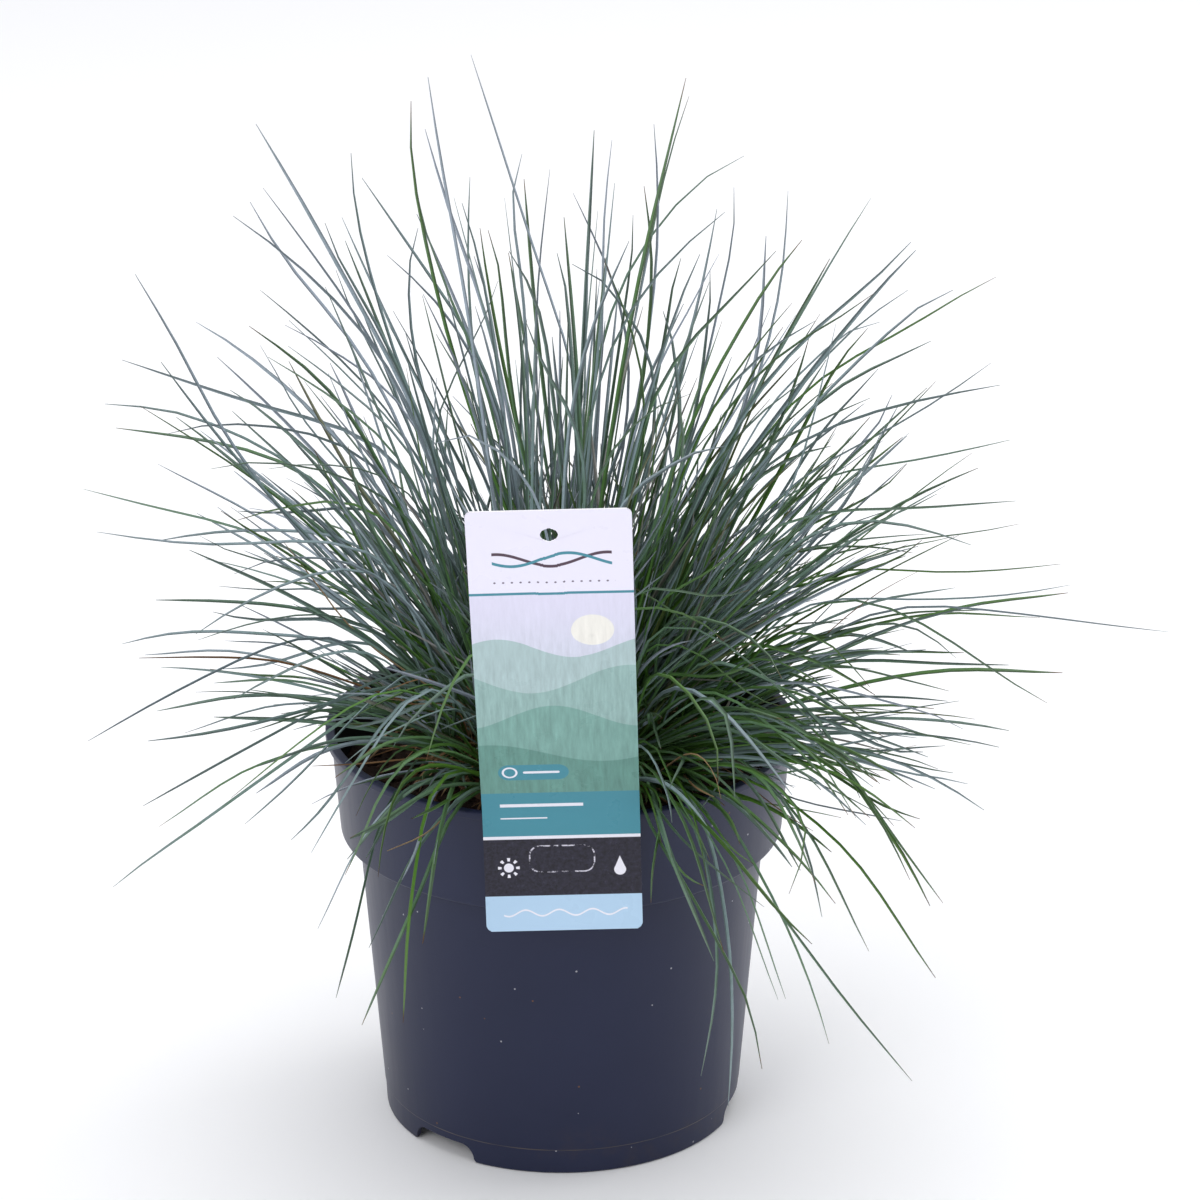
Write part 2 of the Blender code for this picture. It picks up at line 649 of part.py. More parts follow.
def main():
    clear_scene()
    plant = bpy.data.objects.new("potted_fescue", None)
    bpy.context.collection.objects.link(plant)
    build_pot(plant, make_material("pot_plastic", PLASTIC, 0.45))
    build_soil(plant, make_material("peat", PEAT, 0.95))
    build_crown(plant, make_material("dry_sheath", SHEATH, 0.8))
    build_label(plant, make_material("label_card", CARD, 0.35))
    leaves = [make_material(f"leaf_{index}", colour, 0.5)
              for index, colour in enumerate(LEAF_COLOURS, 1)]
    build_shoots(plant, leaves)


main()
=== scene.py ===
"""Finish of the potted blue fescue clump: leaves, dry sheaths, peat, pot and plant label.

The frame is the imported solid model, in metres, +Z up, with the pot's axis on Z and the
label in front, towards -Y.
"""

import json
import math
import random

import bmesh
import bpy
import numpy as np
from mathutils import Matrix, Vector, noise


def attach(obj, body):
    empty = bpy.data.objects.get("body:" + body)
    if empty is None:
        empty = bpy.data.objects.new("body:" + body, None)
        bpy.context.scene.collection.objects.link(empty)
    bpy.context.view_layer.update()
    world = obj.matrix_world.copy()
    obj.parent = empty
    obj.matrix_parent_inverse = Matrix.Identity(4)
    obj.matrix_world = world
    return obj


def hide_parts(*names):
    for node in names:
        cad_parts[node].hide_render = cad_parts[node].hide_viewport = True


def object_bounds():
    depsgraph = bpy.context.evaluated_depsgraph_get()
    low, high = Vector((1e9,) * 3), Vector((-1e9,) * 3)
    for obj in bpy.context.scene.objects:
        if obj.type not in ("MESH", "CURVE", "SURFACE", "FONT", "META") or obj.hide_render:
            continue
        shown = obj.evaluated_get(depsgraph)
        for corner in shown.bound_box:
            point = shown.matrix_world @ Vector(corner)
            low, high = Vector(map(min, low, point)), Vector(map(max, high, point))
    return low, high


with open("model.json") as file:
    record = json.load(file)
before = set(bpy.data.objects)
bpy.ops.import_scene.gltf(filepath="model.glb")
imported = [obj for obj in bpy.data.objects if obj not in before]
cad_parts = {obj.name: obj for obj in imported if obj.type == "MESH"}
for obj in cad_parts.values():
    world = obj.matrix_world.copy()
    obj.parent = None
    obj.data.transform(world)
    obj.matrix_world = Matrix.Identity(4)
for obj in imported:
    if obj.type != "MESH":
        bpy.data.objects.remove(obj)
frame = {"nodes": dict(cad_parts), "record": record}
cad_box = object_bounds()

MM = 0.001
UP = np.array((0.0, 0.0, 1.0))

# Camera, in the photograph's own frame
PHOTO_SIDE = 1200
FOCAL_PIXELS = 4958.0
SENSOR_WIDTH = 36.0
CAMERA_PLACE = (0.0157, -1.8435, 0.9415)
CAMERA_DIP = math.radians(21.4)

# Studio: each softbox has a name, a place, a target, a size in metres and a power in watts
WORLD_COLOUR = (0.96, 0.97, 1.0, 1.0)
WORLD_STRENGTH = 0.72
SOFTBOXES = (
    ("top_softbox", (0.0, 0.4, 2.6), (0.0, 0.0, 0.2), 2.6, 34.0),
    ("front_softbox", (-1.5, -2.0, 1.7), (0.0, 0.0, 0.25), 1.4, 20.0),
    ("side_softbox", (2.1, 0.9, 0.8), (0.0, 0.0, 0.15), 1.2, 16.0),
)
FLOOR_RADIUS = 14.0
FLOOR_DROP = 0.2 * MM
FLOOR_COLOUR = (0.93, 0.93, 0.94, 1.0)

# Pot, turned round Z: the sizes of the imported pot, with its edges rounded
POT_SEGMENTS = 160
FOOT_RADIUS = 72.5 * MM
FOOT_WALL = 2.0 * MM
FOOT_HEIGHT = 9.5 * MM
FOOT_DISC_RADIUS = 13.5 * MM
CREASE_HEIGHT = 10.7 * MM
FLOOR_HEIGHT = 12.0 * MM
BODY_TOP_RADIUS = 82.3 * MM
BODY_TOP = 122.0 * MM
COLLAR_RADIUS = 89.4 * MM
COLLAR_BOTTOM = 122.8 * MM
COLLAR_TOP_RADIUS = 92.7 * MM
LIP_BOTTOM = 162.0 * MM
LIP_RADIUS = 95.0 * MM
LIP_INNER_RADIUS = 91.2 * MM
LIP_EDGE = 0.8 * MM
RIM_HEIGHT = 165.6 * MM
WALL = 1.5 * MM
EASE_POINTS = 5
NOTCH_ANGLES = (-41.5, 78.5, 198.5)
NOTCH_HALF_WIDTH = 15.7 * MM
NOTCH_HEIGHT = 7.5 * MM
NOTCH_CORNER = 6.0 * MM
DRAIN_COUNT = 6
DRAIN_RADIUS = 4.5 * MM
DRAIN_CIRCLE = 52.0 * MM
PLASTIC_COLOURS = ((0.3, (0.0120, 0.0160, 0.0430)), (0.7, (0.0155, 0.0200, 0.0520)))
SPECKS = (
    # Cells to the metre, share of the cells without a speck, speck's size in its cell, colour
    (130.0, 0.62, 0.052, (0.34, 0.34, 0.38, 1.0)),
    (105.0, 0.72, 0.048, (0.12, 0.060, 0.03, 1.0)),
)
CREASE_DUST = (0.085, 0.070, 0.062, 1.0)
FOOT_DUST = (0.045, 0.032, 0.030, 1.0)
# Painted shade on the faces inside the pot
INSIDE_PAINTED_SHADE = (0.0045, 0.0040, 0.0050, 1.0)

# Soil and crown
SOIL_TOP = 145.5 * MM
CROWN_RADIUS = 45.0 * MM
CROWN_HEIGHT = 30.0 * MM
SOIL_RINGS = 60
SOIL_SEGMENTS = 220
SOIL_CRUMBS = 1500
# Height of the peat's lumps in millimetres, and how many of them to the metre
SOIL_LUMPS = ((2.2, 60.0), (1.5, 170.0), (0.8, 480.0))
PEAT_GAP = 0.35 * MM
PEAT_COLOURS = (
    (0.15, (0.0065, 0.0036, 0.0028)), (0.5, (0.030, 0.0155, 0.0105)),
    (0.75, (0.078, 0.040, 0.026)), (1.0, (0.210, 0.130, 0.085)),
)
CROWN_STUBS = 900
STUB_LENGTHS = (7.0 * MM, 30.0 * MM)
STUB_HALF_WIDTHS = (0.5 * MM, 1.25 * MM)
CROWN_TRAILS = 110
TRAIL_REACHES = (56.0 * MM, 86.0 * MM)
TRAIL_HALF_WIDTHS = (0.35 * MM, 0.85 * MM)
MOUND_RINGS = 18
MOUND_SEGMENTS = 84
MOUND_TONE = 0.12

# Label
LABEL_WIDTH = 60.7 * MM
LABEL_LENGTH = 212.0 * MM
LABEL_THICKNESS = 0.5 * MM
LABEL_CORNER = 3.0 * MM
LABEL_BOTTOM = 119.0 * MM
LABEL_BACK_Y = -95.8 * MM
LABEL_STEP = 0.5 * MM
LABEL_BEND_START = 40.0 * MM
LABEL_BEND_LENGTH = 16.0 * MM
LABEL_LEAN = math.radians(23.6)
LABEL_ROLL = math.radians(-1.5)
LABEL_SHIFT = 0.8 * MM
LABEL_HOLE_RADIUS = 3.3 * MM
LABEL_HOLE_DROP = 12.5 * MM
HOOK_WIDTH = 18.0 * MM
HOOK_THICKNESS = 1.0 * MM
HOOK_START = 60.0 * MM
HOOK_ROOT = 2.4 * MM
HOOK_LIP_Y = -92.0 * MM
HOOK_INSIDE_Y = -88.9 * MM
HOOK_RISE = 1.2 * MM
HOOK_CREST = 1.6 * MM
HOOK_SAG = 0.2 * MM
HOOK_END = 150.0 * MM
# Print on the card, in millimetres from its lower left corner
PRINT_EDGE = 0.12
BAND_EDGES = (15.0, 39.0, 40.3, 62.0, 169.0, 170.3)
FOOT_BLUE = (0.455, 0.640, 0.830, 1.0)
HEADER_WHITE = (0.845, 0.820, 0.945, 1.0)
CARD_WHITE = (0.80, 0.79, 0.84, 1.0)
WHITE = (0.83, 0.82, 0.90, 1.0)
TEAL = (0.062, 0.262, 0.335, 1.0)
PLUM = (0.085, 0.050, 0.075, 1.0)
DOT_COLOUR = (0.17, 0.14, 0.20, 1.0)
PRESSED_COLOUR = (0.62, 0.60, 0.70, 1.0)
BAND_SOIL = (
    (0.35, (0.008, 0.007, 0.012)), (0.62, (0.026, 0.024, 0.044)), (0.8, (0.075, 0.075, 0.120)),
)
LOW_SKY = (0.62, 0.66, 0.76, 1.0)
HIGH_SKY = (0.74, 0.72, 0.88, 1.0)
SUN_PLACE = (45.0, 150.0)
SUN_RADIUS = 8.0
SUN_COLOUR = (0.88, 0.86, 0.80, 1.0)
DOT_LINE = 175.5
DOT_SPACING = 3.2
DOT_RADIUS = 0.45
BADGE = (20.5, 73.5)
RING = (11.4, 73.5)
SIGN_SUN = (9.5, 27.0)
SIGN_DROP = (52.5, 25.4)
HOOK_MARK = (30.2, 30.5)
HILLS = (
    # Height and swing of the crest, its wave's length and phase, and colour
    (141.0, 5.0, 58.0, 0.6, (0.42, 0.55, 0.56)),
    (124.0, 7.0, 74.0, 2.9, (0.30, 0.46, 0.44)),
    (104.0, 6.0, 66.0, 5.1, (0.20, 0.38, 0.34)),
    (84.0, 5.0, 88.0, 1.3, (0.13, 0.29, 0.25)),
)

# Leaves: folded lengthwise into a V. The section's points are (across, outwards) on a
# half-width of one.
LEAF_SECTION = (
    (0.0, -0.62), (0.62, -0.22), (1.0, 0.30), (0.0, -0.12), (-1.0, 0.30), (-0.62, -0.22),
)
LEAF_STATIONS = 15
LEADING_HALF_WIDTH = (0.72 * MM, 1.02 * MM)
FINE_HALF_WIDTH = (0.55 * MM, 0.92 * MM)
DRY_HALF_WIDTH = (0.32 * MM, 0.55 * MM)
TIP_HALF_WIDTH = 0.12 * MM
LEAF_TURN = 1.1
LEAF_TWIST = 1.2
TIP_PERIMETER = 1.6 * MM
EASE_PASSES = 6
# Colours by tone, from green to pale blue and, once dry, from brown to straw
FRESH_COLOURS = (
    (0.0, (0.062, 0.155, 0.018)), (0.22, (0.074, 0.165, 0.048)), (0.45, (0.112, 0.189, 0.134)),
    (0.70, (0.182, 0.253, 0.262)), (1.0, (0.325, 0.380, 0.445)),
)
DRY_COLOURS = (
    (0.0, (0.070, 0.035, 0.016)), (0.5, (0.230, 0.130, 0.060)), (1.0, (0.420, 0.310, 0.180)),
)
TIP_COLOUR = (0.225, 0.195, 0.215, 1.0)
# Base: the leaf's own green, darkened as painted shade inside the clump
BASE_GREEN_AND_PAINTED_SHADE = (0.062, 0.150, 0.016, 1.0)
SHEATH_COLOUR = (0.170, 0.130, 0.045, 1.0)
# Tones of the traced leaves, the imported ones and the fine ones, and how much bluer each
# slot is
TRACED_TONES = (0.2, 0.95)
DRY_TONES = (0.4, 1.0)
PALE_TONE = 1.0
YELLOW_TONE = 0.05
PACKED_TONES = (0.3, 0.95)
FINE_TONE_SHAPE = (1.3, 1.2)
BLUER = {"leaf_blue": 0.05, "leaf_green": -0.12, "leaf_grey": 0.10}
# Leaves on the left are paler than those on the right, as painted light falling from the left, and
# steep ones than low ones
LEFT_PAINTED_LIGHT_GAIN = 0.13
STEEP_TONE_GAIN = 0.22
MIDDLE_SLOPE = 0.75

# Fine leaves of a shoot, by the sine of its slope, and how many more on the right
FINE_COUNTS = ((-0.3, 4), (0.0, 5), (0.35, 14), (0.6, 32), (0.8, 34), (1.0, 28))
FINE_RIGHT_GAIN = 0.50
FINE_TRIES = 14
FINE_START_SPREAD = 9.0 * MM
FINE_START_RISE = 3.0 * MM
CROWN_EDGE = 0.97
# How a fine leaf strays from the leaf it follows: swing, rise and sideways lean in
# radians, the last on a flat shoot and on an upright one
FINE_SWING = 0.46
FINE_RISE = (0.07, 0.30)
FINE_LEANS = (0.16, 0.40)
# Its least, most and likeliest share of that leaf's length, and how much shorter a stray is
FINE_SHARES = (0.32, 0.95, 0.48)
STRAY_LOSS = 0.30
MOST_STRAY = 0.8
FINE_STRAIGHT = (0.1, 0.9)
# Its bend to the side and its droop, as shares of its length
FINE_BEND = 0.085
FINE_DROOP = 0.13
# One fine leaf in nine is partly dry
FINE_DRYNESS = (0.0,) * 8 + (0.35,)
# Gaps between the leaves, as middle and half-size in the photograph's pixels; fine leaves
# keep out of them
GAPS = (
    ((572, 335), (27, 52)), ((380, 655), (30, 11)), ((357, 740), (16, 14)), ((690, 716), (22, 11)),
)

# A traced leaf that ends this near to a packed leaf takes its place
SAME_LEAF = 22.0 * MM
# Other traced leaves are shared out among the near shoots, so that they cross
CARRIER_SPREAD = 45.0 * MM
# How much nearer a shoot counts when it starts on the leaf's side of the crown
AIM_GAIN = 30.0 * MM
# Leaves that stand out in the photograph. Each row is the tip's depth behind the pot's
# axis in centimetres, then the tip and points further in, in the photograph's pixels.
PHOTO_LEAVES = (
    # Upper left
    (3, (256, 124), (301, 199), (365, 314), (395, 367)),
    (5, (263, 188), (296, 232), (367, 332)),
    (0, (250, 202), (281, 255), (355, 344)),
    (-3, (233, 216), (276, 247), (362, 329)),
    (-5, (135, 274), (184, 357), (217, 424), (273, 501), (306, 542)),
    (10, (196, 322), (230, 342), (283, 383)),
    (4, (260, 290), (301, 324), (372, 390)),
    (6, (122, 360), (196, 385), (281, 412), (378, 437)),
    (-6, (161, 362), (204, 419)),
    (8, (217, 357), (258, 395)),
    (-2, (249, 326), (306, 367)),
    (10, (351, 153), (353, 189), (383, 319)),
    (2, (325, 223), (339, 260), (367, 306)),
    (2, (285, 325), (313, 339), (336, 353), (363, 368)),
    (-6, (288, 346), (306, 359), (336, 381), (361, 401), (386, 422)),
    (5, (260, 345), (268, 356), (281, 383), (313, 434), (336, 459)),
    (-4, (268, 357), (290, 370), (313, 384), (346, 407), (373, 428)),
    (-1, (288, 383), (298, 399), (323, 426), (353, 457)),
    (7, (330, 363), (339, 381), (351, 406), (364, 439), (379, 475)),
    (-5, (321, 396), (336, 416), (363, 447)),
    (3, (230, 390), (253, 404), (286, 431), (320, 460)),
    (6, (336, 270), (344, 293), (363, 333), (379, 364), (396, 398)),
    (-2, (343, 328), (354, 354), (364, 386), (374, 414), (386, 456)),
    (5, (387, 255), (402, 268), (434, 298), (455, 325)),
    (-9, (348, 446), (350, 462), (354, 480)),
    (-10, (435, 443), (444, 436), (459, 432), (478, 435), (500, 450)),
    # Top
    (4, (411, 101), (410, 143), (431, 268)),
    (5, (362, 178), (400, 233), (433, 281), (465, 327)),
    (3, (418, 197), (425, 230), (438, 263), (450, 299), (466, 332)),
    (8, (418, 228), (410, 256), (408, 299), (411, 336)),
    (-4, (423, 294), (433, 316), (446, 339), (458, 367)),
    (1, (436, 334), (448, 354), (458, 369)),
    (-3, (462, 203), (471, 230), (480, 263), (490, 313), (497, 360)),
    (6, (474, 256), (483, 280), (489, 310)),
    (4, (480, 228), (485, 263), (491, 299)),
    (-5, (475, 306), (483, 331), (490, 357)),
    (2, (488, 230), (496, 250), (500, 279), (504, 316), (506, 346)),
    (1, (498, 281), (491, 304), (475, 336), (458, 370), (440, 400)),
    (3, (509, 251), (526, 278), (536, 299), (544, 326), (548, 357)),
    (-2, (511, 269), (516, 299), (521, 337), (524, 379)),
    (5, (527, 319), (522, 345), (521, 372)),
    (-6, (526, 322), (536, 349), (549, 377), (566, 402), (578, 430)),
    (0, (557, 253), (566, 288), (569, 324)),
    (2, (572, 264), (600, 277), (620, 301), (640, 330)),
    (-2, (605, 262), (614, 283), (621, 300), (634, 335)),
    (7, (633, 215), (632, 256), (627, 290)),
    (3, (644, 186), (649, 223), (652, 266), (650, 316)),
    (-2, (428, 77), (438, 143), (466, 298)),
    (7, (425, 129), (447, 204), (487, 316)),
    (2, (471, 55), (507, 166), (553, 306), (573, 357)),
    (8, (470, 177), (468, 242)),
    (6, (522, 154), (511, 199), (520, 260)),
    (12, (524, 179), (534, 301)),
    (3, (550, 169), (538, 281)),
    (-4, (564, 217), (576, 357)),
    (6, (612, 140), (604, 217), (603, 306)),
    (9, (573, 193), (619, 296)),
    (-5, (629, 241), (594, 321)),
    (4, (654, 124), (658, 179)),
    (0, (686, 78), (673, 133), (645, 250)),
    (5, (689, 96), (670, 153), (655, 217)),
    (5, (744, 156), (706, 176), (645, 242)),
    (-4, (725, 212), (688, 242), (655, 275)),
    (8, (717, 209), (706, 268)),
    (10, (734, 187), (735, 219), (716, 319)),
    (11, (788, 191), (783, 268)),
    (1, (663, 311), (671, 333), (676, 369), (681, 406)),
    (-8, (670, 381), (676, 394), (680, 408)),
    (4, (681, 258), (674, 278), (670, 306), (667, 326)),
    (-3, (700, 254), (691, 272), (681, 298), (671, 326)),
    (-9, (690, 394), (670, 399), (650, 411)),
    (-8, (725, 446), (703, 448), (680, 461), (657, 472)),
    (6, (710, 271), (711, 293), (707, 323), (705, 348)),
    (0, (719, 254), (708, 272), (695, 300), (673, 336)),
    (-4, (722, 321), (713, 346), (706, 366)),
    # Upper right
    (-5, (776, 251), (756, 273), (720, 311), (690, 340)),
    (2, (802, 240), (783, 263), (763, 291), (740, 330), (715, 373)),
    (6, (766, 236), (764, 273), (762, 320), (755, 370)),
    (-3, (792, 303), (773, 325), (750, 352)),
    (3, (783, 327), (773, 340), (757, 365)),
    (-6, (873, 294), (856, 308), (822, 326), (779, 354)),
    (-2, (815, 321), (794, 333), (763, 354)),
    (4, (820, 314), (806, 338), (784, 361), (759, 386), (740, 419)),
    (9, (880, 322), (839, 335), (815, 360), (789, 383)),
    (-4, (836, 323), (831, 346), (821, 386), (812, 422), (799, 472)),
    (5, (809, 338), (799, 373), (784, 414), (769, 447)),
    (7, (868, 328), (846, 353), (832, 373), (818, 400)),
    (2, (878, 369), (856, 393), (822, 429), (802, 461)),
    (-7, (870, 398), (837, 412), (809, 426), (773, 441)),
    (3, (807, 377), (793, 389), (770, 405)),
    (-1, (870, 417), (844, 446), (822, 467)),
    (6, (854, 432), (831, 461), (814, 482)),
    (-5, (835, 433), (819, 456), (799, 484)),
    (1, (831, 446), (799, 454), (766, 471)),
    (8, (898, 406), (885, 429), (866, 470)),
    (-3, (861, 483), (839, 499), (810, 520)),
    # Right
    (3, (871, 198), (841, 245), (800, 316)),
    (-10, (746, 541), (726, 559), (703, 576), (670, 591)),
    (-11, (750, 590), (722, 597), (694, 596), (669, 587)),
    (-9, (782, 679), (772, 658), (759, 643), (740, 629), (700, 615)),
    (-8, (875, 695), (831, 668), (797, 654), (740, 640)),
    (-12, (850, 762), (827, 737), (804, 714), (747, 658), (722, 639), (690, 618)),
    (3, (913, 553), (880, 547), (820, 547), (760, 560)),
    (-4, (929, 534), (870, 538), (812, 547), (760, 558)),
    (2, (922, 540), (904, 555), (870, 570), (835, 580), (760, 592)),
    (5, (881, 555), (860, 562), (839, 572)),
    (4, (907, 464), (889, 484), (866, 499), (831, 517), (803, 526)),
    (-5, (885, 425), (860, 474), (831, 509), (793, 540)),
    (4, (907, 436), (870, 470), (831, 503), (803, 536)),
    (6, (937, 494), (913, 507), (880, 520), (841, 543)),
    (-3, (911, 242), (877, 277), (800, 342)),
    (6, (916, 250), (884, 283), (841, 334)),
    (9, (996, 277), (958, 297), (915, 324), (800, 390)),
    (2, (953, 290), (922, 304), (889, 332)),
    (12, (908, 290), (869, 316)),
    (13, (931, 341), (897, 357), (851, 378)),
    (-2, (991, 363), (943, 397), (889, 430), (800, 476)),
    (-7, (1000, 385), (948, 394), (892, 406), (800, 438)),
    (10, (1010, 440), (953, 453), (902, 463), (800, 481)),
    (3, (978, 468), (933, 487), (884, 512)),
    (-9, (1016, 501), (963, 505), (912, 509), (800, 512)),
    (5, (1019, 524), (973, 533), (928, 538), (800, 563)),
    (-5, (971, 545), (933, 532), (877, 519)),
    (10, (1061, 564), (1004, 570), (953, 573), (800, 574)),
    (2, (1070, 585), (1024, 593), (902, 600), (800, 598)),
    (2, (1169, 632), (1106, 625), (1030, 615), (958, 607), (902, 601)),
    (4, (1009, 665), (928, 663), (851, 659)),
    (-8, (1047, 703), (1012, 683), (928, 626), (869, 596)),
    (-3, (956, 658), (928, 634)),
    (8, (913, 653), (871, 637), (825, 632)),
    (1, (892, 395), (887, 412), (869, 435)),
    (-8, (909, 433), (876, 463), (846, 489)),
    (-3, (907, 463), (864, 501)),
    (-12, (949, 691), (907, 680), (825, 662)),
    (-9, (870, 687), (830, 642)),
    # Low on the right
    (-12, (753, 664), (732, 672), (716, 676), (692, 677), (665, 670)),
    (-14, (735, 799), (733, 756), (731, 725)),
    (-13, (661, 749), (655, 728), (649, 708)),
    (-15, (672, 823), (668, 795), (655, 760)),
    (-10, (860, 798), (830, 736), (792, 692), (765, 675), (742, 667), (716, 656)),
    (-8, (724, 641), (697, 619), (672, 609), (649, 605)),
    (-10, (785, 707), (754, 698), (727, 677), (702, 652), (677, 640)),
    (-11, (859, 767), (821, 740), (783, 719), (744, 698), (712, 682)),
    (-15, (777, 847), (742, 805), (727, 782), (697, 763), (668, 748)),
    (-13, (848, 815), (821, 774), (788, 740), (754, 713), (727, 692)),
    (-16, (710, 860), (689, 815), (672, 790), (666, 767), (661, 744)),
    (-16, (672, 858), (660, 818), (648, 785), (640, 760)),
    (-12, (971, 745), (931, 736), (864, 720), (818, 708)),
    (-10, (917, 738), (878, 733)),
    (-13, (928, 757), (899, 746), (870, 735)),
    (-14, (984, 810), (948, 786), (896, 760)),
    (-13, (968, 784), (941, 778), (896, 772), (850, 755)),
    (-12, (953, 773), (927, 769), (885, 759), (850, 750)),
    (-14, (935, 789), (896, 773), (864, 762)),
    (-15, (913, 788), (892, 773), (840, 745)),
    (-15, (920, 819), (899, 812), (873, 801), (830, 770)),
    (-15, (915, 828), (894, 811), (864, 788)),
    (-15, (866, 825), (849, 809), (825, 786)),
    (-18, (943, 903), (902, 847), (867, 798), (832, 742), (809, 718)),
    (-17, (930, 906), (901, 850), (862, 795), (827, 740)),
    (-17, (910, 880), (884, 826), (857, 785), (820, 736)),
    (-12, (938, 769), (918, 761), (887, 753), (841, 746)),
    (-10, (923, 752), (896, 752), (863, 739), (826, 718)),
    (-8, (878, 742), (857, 726), (831, 707), (808, 687)),
    (-6, (866, 721), (847, 706), (820, 688), (795, 672)),
    (-9, (844, 706), (826, 700), (800, 690)),
    (-13, (880, 784), (866, 770), (846, 755), (818, 738)),
    (-14, (873, 787), (860, 778), (841, 762), (818, 747), (780, 720)),
    (-15, (894, 826), (875, 805), (857, 785), (834, 770), (800, 745)),
    (-15, (870, 818), (847, 798), (831, 782), (811, 770), (780, 750)),
    (-15, (856, 818), (841, 793), (832, 775), (818, 759), (790, 735)),
    (-15, (821, 790), (808, 775), (788, 765), (750, 735)),
    (-14, (847, 776), (826, 762), (803, 747), (770, 725)),
    (-13, (887, 771), (857, 767), (831, 759), (803, 747), (765, 720)),
    (-5, (822, 681), (803, 673), (775, 660)),
    (-3, (827, 655), (806, 653), (780, 650)),
    (-13, (877, 782), (850, 762), (815, 740), (780, 715)),
    (-11, (860, 715), (839, 698), (815, 680), (790, 664)),
    (-12, (885, 737), (860, 725), (830, 708), (795, 690)),
    (-14, (792, 795), (773, 770), (753, 745), (733, 720), (700, 690)),
    (-12, (801, 779), (785, 765), (760, 742), (730, 715)),
    # Hanging over the rim on the right
    (-17, (822, 917), (808, 852), (790, 806)),
    (-16, (815, 883), (801, 847), (785, 813), (769, 785)),
    (-16, (792, 867), (776, 845), (755, 822), (737, 804)),
    (-19, (829, 1044), (817, 1003), (783, 918), (735, 831), (705, 781)),
    (-20, (912, 1081), (838, 992), (783, 916), (723, 843), (661, 774)),
    (-18, (812, 944), (783, 916), (728, 848)),
    (-17, (764, 907), (712, 866), (680, 838), (664, 817)),
    (-20, (701, 1076), (714, 1010), (719, 960), (711, 889), (696, 810)),
    (-20, (728, 1106), (732, 1035), (731, 967), (712, 840), (698, 783)),
    (-19, (762, 1069), (747, 996), (728, 960), (675, 866), (641, 813)),
    (-17, (714, 961), (698, 921), (675, 866)),
    (-17, (754, 864), (733, 850), (712, 822), (690, 795), (660, 764)),
    (-16, (707, 826), (694, 809), (672, 787)),
    (-17, (789, 894), (800, 868), (809, 826), (791, 798), (765, 775)),
    # Left
    (7, (83, 489), (166, 510), (237, 526), (332, 570)),
    (-8, (97, 532), (158, 541), (217, 546), (357, 540)),
    (3, (105, 404), (179, 412), (219, 426), (281, 456)),
    (-5, (140, 406), (179, 430), (255, 479)),
    (11, (116, 428), (219, 443), (281, 459)),
    (0, (167, 434), (204, 425), (255, 424), (357, 448)),
    (-9, (210, 469), (245, 462), (293, 463), (357, 479)),
    (-5, (156, 600), (219, 601), (332, 615)),
    (-10, (234, 574), (268, 560), (319, 556)),
    (6, (218, 586), (268, 590), (344, 590)),
    (8, (122, 644), (166, 634), (219, 631), (281, 636), (357, 642)),
    (-8, (88, 741), (148, 706), (215, 671), (322, 628)),
    (-3, (214, 683), (279, 679)),
    (-12, (148, 741), (197, 735), (317, 707), (370, 690), (420, 672)),
    (-9, (214, 717), (324, 722)),
    (4, (176, 417), (207, 440), (234, 463), (268, 490), (300, 512)),
    (-4, (268, 469), (291, 465), (326, 464), (368, 468)),
    (2, (157, 541), (207, 533), (249, 530), (301, 531), (339, 532)),
    (-7, (200, 536), (219, 547), (257, 559), (291, 568), (330, 582)),
    (-3, (238, 520), (259, 513), (286, 507), (339, 498)),
    (5, (238, 511), (272, 513), (310, 511), (368, 504)),
    (-6, (221, 511), (245, 527), (272, 543), (310, 568)),
    (1, (249, 508), (272, 511), (291, 519), (320, 535)),
    (-2, (286, 478), (314, 492), (339, 507)),
    (6, (304, 482), (326, 501), (350, 522)),
    (3, (264, 553), (284, 565), (310, 580)),
    (8, (263, 581), (291, 582), (339, 588)),
    (-4, (213, 612), (249, 620), (291, 620), (349, 618)),
    (-6, (198, 640), (234, 628), (264, 620), (330, 612)),
    (-8, (196, 634), (234, 609), (272, 589), (310, 574), (339, 565)),
    (2, (281, 606), (330, 609), (380, 607)),
    (-5, (222, 669), (264, 665), (310, 651), (349, 637)),
    (5, (210, 669), (253, 675), (310, 677)),
    (-9, (234, 699), (263, 682), (291, 668), (330, 650)),
    # Low on the left
    (-12, (426, 761), (436, 726), (448, 690), (463, 660)),
    (-11, (393, 747), (412, 717), (439, 694), (465, 672)),
    (-8, (350, 728), (366, 725), (400, 714), (440, 695)),
    (-12, (345, 763), (377, 738), (412, 722), (442, 707)),
    (-13, (379, 773), (400, 764), (430, 745)),
    (-14, (356, 816), (366, 793), (383, 764)),
    (-15, (345, 875), (364, 833), (377, 797), (395, 768)),
    (-15, (366, 858), (381, 832), (395, 800)),
    (-14, (350, 839), (383, 824), (412, 803), (442, 776)),
    (-15, (402, 880), (415, 854), (424, 825), (432, 795)),
    (-15, (411, 819), (435, 808), (450, 799)),
    (-13, (143, 806), (197, 776), (253, 745), (324, 707), (370, 680), (430, 655)),
    (-14, (113, 887), (148, 859), (202, 822), (253, 784), (330, 730), (352, 712), (380, 690),
     (415, 668)),
    (-16, (231, 798), (299, 743), (340, 712), (375, 690)),
    (-14, (245, 824), (299, 776), (330, 743), (352, 720), (375, 691), (430, 655)),
    (-14, (291, 840), (322, 809), (345, 779), (370, 741), (391, 708), (420, 680)),
    (-15, (311, 853), (345, 794), (366, 760), (385, 725), (410, 690)),
    (-15, (350, 838), (381, 822), (432, 789)),
    # Hanging over the rim on the left
    (-18, (336, 998), (355, 926), (368, 868), (393, 779)),
    (-20, (362, 1025), (406, 924), (432, 865), (457, 791)),
    (-19, (403, 1023), (410, 901), (421, 830), (426, 779)),
)
